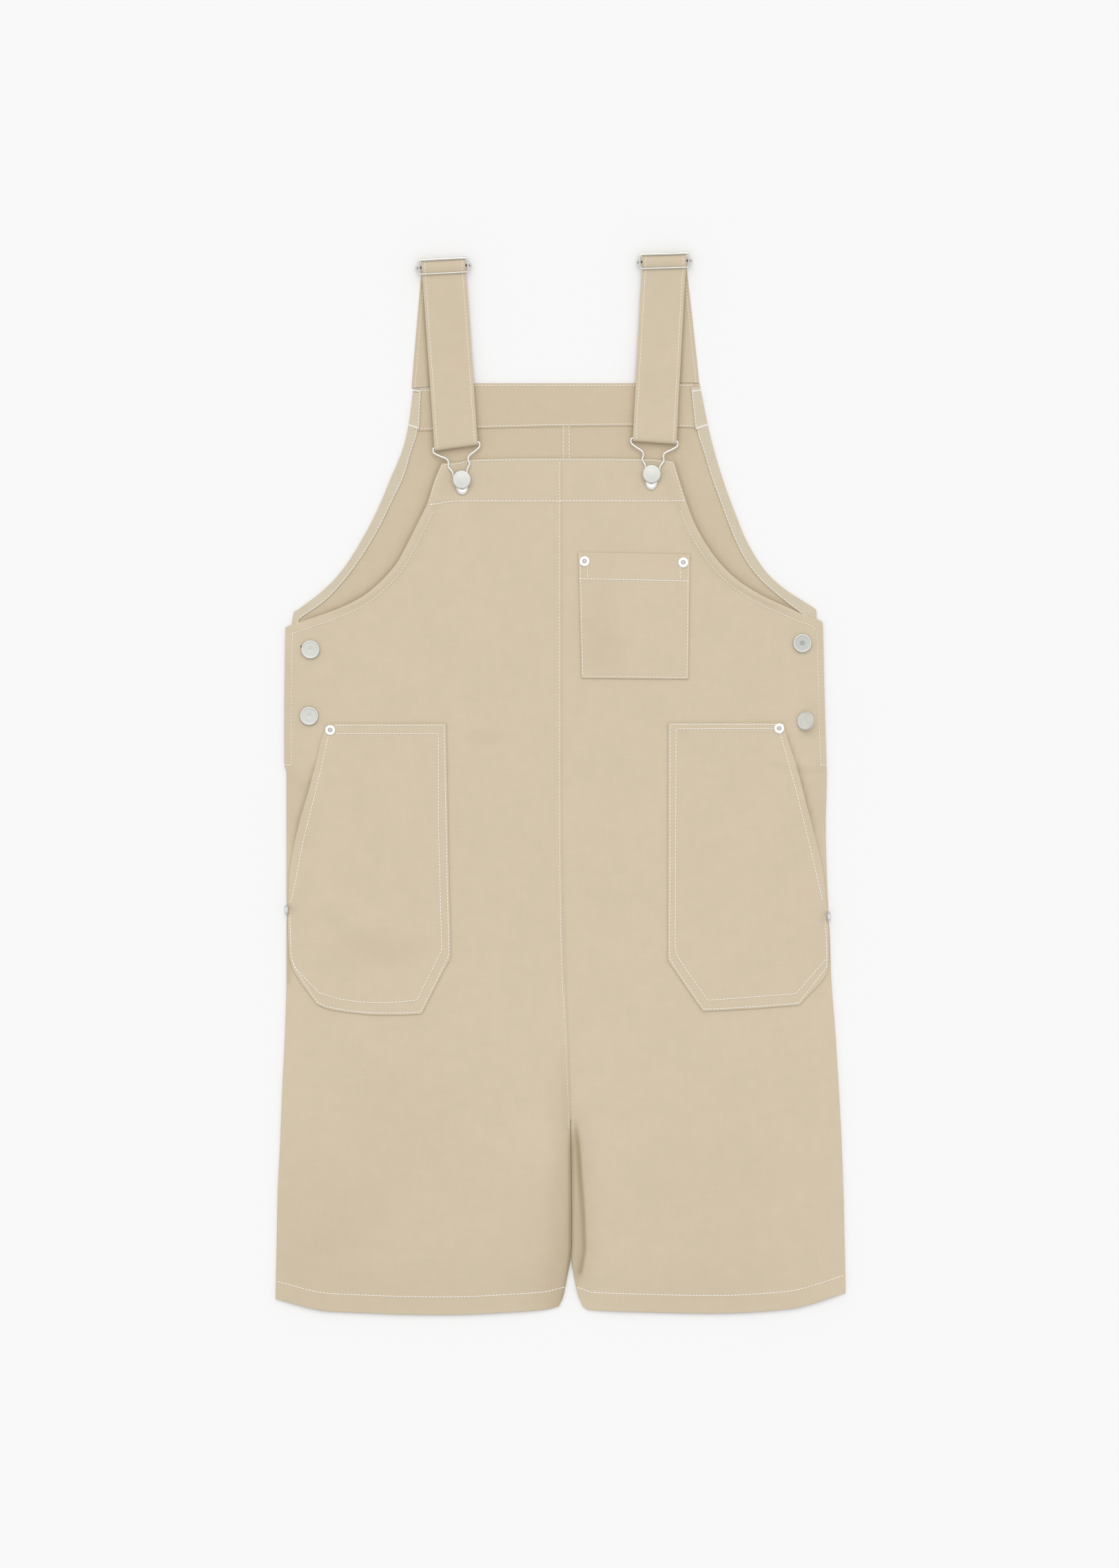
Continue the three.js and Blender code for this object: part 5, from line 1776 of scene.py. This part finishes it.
class Sewing:
    """Collects stitches and makes them one mesh."""

    def __init__(self):
        self.points, self.faces, self.count = [], [], 0

    def bar(self, start, end, thickness=THREAD):
        """One stitch between two places in space."""
        start, end = np.asarray(start, float), np.asarray(end, float)
        along = end - start
        flat = np.array([-along[1], along[0], 0.0])
        flat /= max(np.linalg.norm(flat), 1e-9)
        angle = np.linspace(0, 2 * math.pi, SIDES, endpoint=False)
        ring = flat[None] * np.cos(angle)[:, None] + UP[None] * np.sin(angle)[:, None]
        base = self.count
        for t, swell, arch in zip(STATIONS, SWELL, ARCH):
            centre = start + along * t + UP * arch
            self.points.append(centre + ring * thickness * swell)
        for s in range(len(STATIONS) - 1):
            for k in range(SIDES):
                m = (k + 1) % SIDES
                a = base + s * SIDES
                self.faces.append([a + k, a + m, a + SIDES + m, a + SIDES + k])
        last = base + (len(STATIONS) - 1) * SIDES
        self.faces.append([base + k for k in reversed(range(SIDES))])
        self.faces.append([last + k for k in range(SIDES)])
        self.count = last + SIDES

    def line(self, route, height, thickness=THREAD):
        """Stitches along a line in the plan, on cloth of a given height."""
        route = np.asarray(route, float)
        at = np.concatenate([[0], np.cumsum(np.linalg.norm(np.diff(route, axis=0), axis=1))])
        number = max(1, int(at[-1] / STITCH_PITCH))
        share = STITCH / STITCH_PITCH
        starts = np.arange(number) * at[-1] / number
        ends = starts + share * at[-1] / number
        for s, e in zip(starts, ends):
            x = np.interp([s, e], at, route[:, 0])
            y = np.interp([s, e], at, route[:, 1])
            z = height(x, y) + THREAD_LIFT
            self.bar((x[0], y[0], z[0]), (x[1], y[1], z[1]), thickness)

    def tack(self, centre, angle, length, width, height, thickness=TACK_THREAD):
        """A bar tack: close stitches across a short line."""
        side, up = plan_axes(angle)
        aside_x, aside_y, _ = up * width / 2
        for k in np.linspace(-0.5, 0.5, max(4, int(length / TACK_PITCH))):
            x, y = centre[0] + side[0] * k * length, centre[1] + side[1] * k * length
            z = float(height(np.array(x), np.array(y))) + 0.2 - (TACK_THREAD - thickness)
            self.bar((x - aside_x, y - aside_y, z), (x + aside_x, y + aside_y, z), thickness)

    def finish(self, name):
        link_piece(name, np.vstack(self.points), self.faces, [cream_thread])
        stitches = len(self.points) // len(STATIONS)
        print(f"{name}: {stitches} stitches, {2 * len(self.faces)} triangles at least")


print("a stitch has this many corners:", len(STATIONS) * SIDES)

# %% [markdown]
# The thread isn't equally thick everywhere it shows. Some lines have sunk into the cloth and others
# stand proud, so each line of the front has its own thickness. A bar tack closes the side opening.

# %% Stitches of the front
FRONT_THREAD = {"opening": 0.29, "armhole": 0.33, "centre": 0.34, "centre_low": 0.22, "bib_side": 0.33,
                "bib_facing": 0.52, "hem": 0.46}
OPENING_THREAD = 0.24


def cloth_top(half):
    """The height of the front's upper side, with its thicker turned edges."""
    thick = front_thick(half)

    def height(x, y):
        x, y = np.atleast_1d(x).astype(float), np.atleast_1d(y).astype(float)
        return front_under(half, x, y) - 0.1 + thick(x, y)
    return height


for half in HALVES:
    sewing = Sewing()
    for key, line in FRONT_LINES[half.name].items():
        sewing.line(line, cloth_top(half), FRONT_THREAD.get(key, THREAD))
    edge = float(half.seam(np.array(float(OPENING_END))))
    tack_height = lambda x, y: cloth_top(half)(x, y)[0]
    depth = OPENING_DEPTH[half.name]
    middle = (edge - half.sign * (depth / 2 + 0.2), OPENING_END)
    sewing.tack(middle, 0, depth, 1.5, tack_height, OPENING_THREAD)
    sewing.finish(f"front_stitches_{half.name}")

# %% [markdown]
# ## Buttonhole
# Only one buttonhole shows: its outer end sticks out beside the upper left side button. A cut into the
# front's wall would be too small to see into, so the shade inside the slit is painted: a dark sliver
# lies on the cloth, with a short bar tack of thread round its end.

# %% Buttonhole end
BUTTONHOLE = (-236.4, 125.2)


def make_buttonhole():
    # Painted shadow: the dark sliver stands for the shade inside the slit.
    slit = Finish("depth of the slit", 0.95)
    shade = slit.blend(slit.noise(0.8, 2.0), (0.085, 0.072, 0.05), (0.16, 0.135, 0.10))
    slit.feed(slit.shader.inputs["Base Color"], shade)
    x, y = BUTTONHOLE
    z = float(cloth_top(left)(x, y)[0])
    opening = Sewing()
    opening.bar((x - 1.5, y + 0.5, z + 0.05), (x + 2.6, y - 0.9, z + 0.05), 0.95)
    piece = link_piece("buttonhole_shadow_left", np.vstack(opening.points), opening.faces, [slit.material])
    edge = Sewing()
    for k in np.linspace(-0.9, 0.9, 4):
        edge.bar((x - 2.5, y + 0.6 + k, z + 0.1), (x - 1.3, y + 0.3 + k, z + 0.1), 0.26)
    edge.finish("buttonhole_stitches_left")
    return piece


print(make_buttonhole().name, "cut")

# %% [markdown]
# ## Stitches of the pockets, the back and the straps
# The other lines are sewn in the same way, each on the height of its own cloth. The back has the two
# lines of its lapped seam, the band's lines, and the facings' lines with bar tacks at their ends.

# %% Pocket stitches
CHEST_THREAD = (0.36, 0.48, 0.4, 0.3)


def pocket_top(half):
    under = hip_parts(half)[-1]
    return lambda x, y: under(x, y) + POCKET_WALL


for half in HALVES:
    sewing = Sewing()
    for line in HIP_LINES[half.name].values():
        sewing.line(line, pocket_top(half))
    sewing.finish(f"hip_pocket_stitches_{half.name}")
sewing = Sewing()
for line, thickness in zip(CHEST_LINES, CHEST_THREAD):
    sewing.line(line, lambda x, y: front_top(right, x, y) + POCKET_LIFT + POCKET_WALL, thickness)
sewing.finish("chest_pocket_stitches")

# %% Back stitches
def band_top(x, y):
    return np.full_like(np.asarray(x, float), ON_BACK + BAND_WALL)


def lap_top(half, over, wall):
    under = lap_lie(half, over)
    return lambda x, y: under(np.asarray(x, float), np.asarray(y, float)) + wall


sewing = Sewing()
for line in BAND_LINES:
    sewing.line(line, band_top)
for half in HALVES:
    end_top, facing_top = lap_top(half, END_CLIMB, END_WALL), lap_top(half, 0.0, FACING_WALL)
    sewing.line(FACING_LINES[half.name]["end"], end_top)
    sewing.line(FACING_LINES[half.name]["facing"], facing_top)
    for y, slope in ((359, 8), (BAND_EDGE - 1.2, 18)):
        inner, outer = float(half.facing(np.array(y))), float(half.back_edge(np.array(y)))
        middle = ((inner + outer) / 2 - half.sign * 0.6, y)
        sewing.tack(middle, half.sign * slope, abs(outer - inner), 1.9, end_top)
for offset in (LAP_NEAR, LAP_WIDTH):
    lap = edge_line(lambda y: right.inside(y) + offset, 296, BAND_EDGE)
    sewing.line(lap, lambda x, y: np.full_like(x, CLOTH + 0.12))
sewing.finish("back_stitches")

# %% [markdown]
# A strap's two seams follow its route on both faces. Only the part that lies close above the surface
# on the underside is left out, because nobody can see thread there and it would reach below the plane.

# %% Strap stitches
STRAP_THREAD = 0.26
LOWEST_STITCH = 0.4

for half in HALVES:
    dense, route, side, face = STRAP_ROUTES[half.name]
    sewing = Sewing()
    number = int(dense[-1] / STITCH_PITCH)
    for edge in (-1, 1):
        for layer in (-1, 1):
            aside = side * edge * (STRAP_WIDTH / 2 - STRAP_SEAM)
            track = route + aside + face * layer * STRAP_WALL / 2
            for k in range(number):
                ends = np.array([k, k + STITCH / STITCH_PITCH]) * dense[-1] / number
                places = np.stack([np.interp(ends, dense, track[:, c]) for c in range(3)], 1)
                if places[:, 2].min() > LOWEST_STITCH:
                    sewing.bar(*places, STRAP_THREAD)
    sewing.finish(f"strap_stitches_{half.name}")

# %% [markdown]
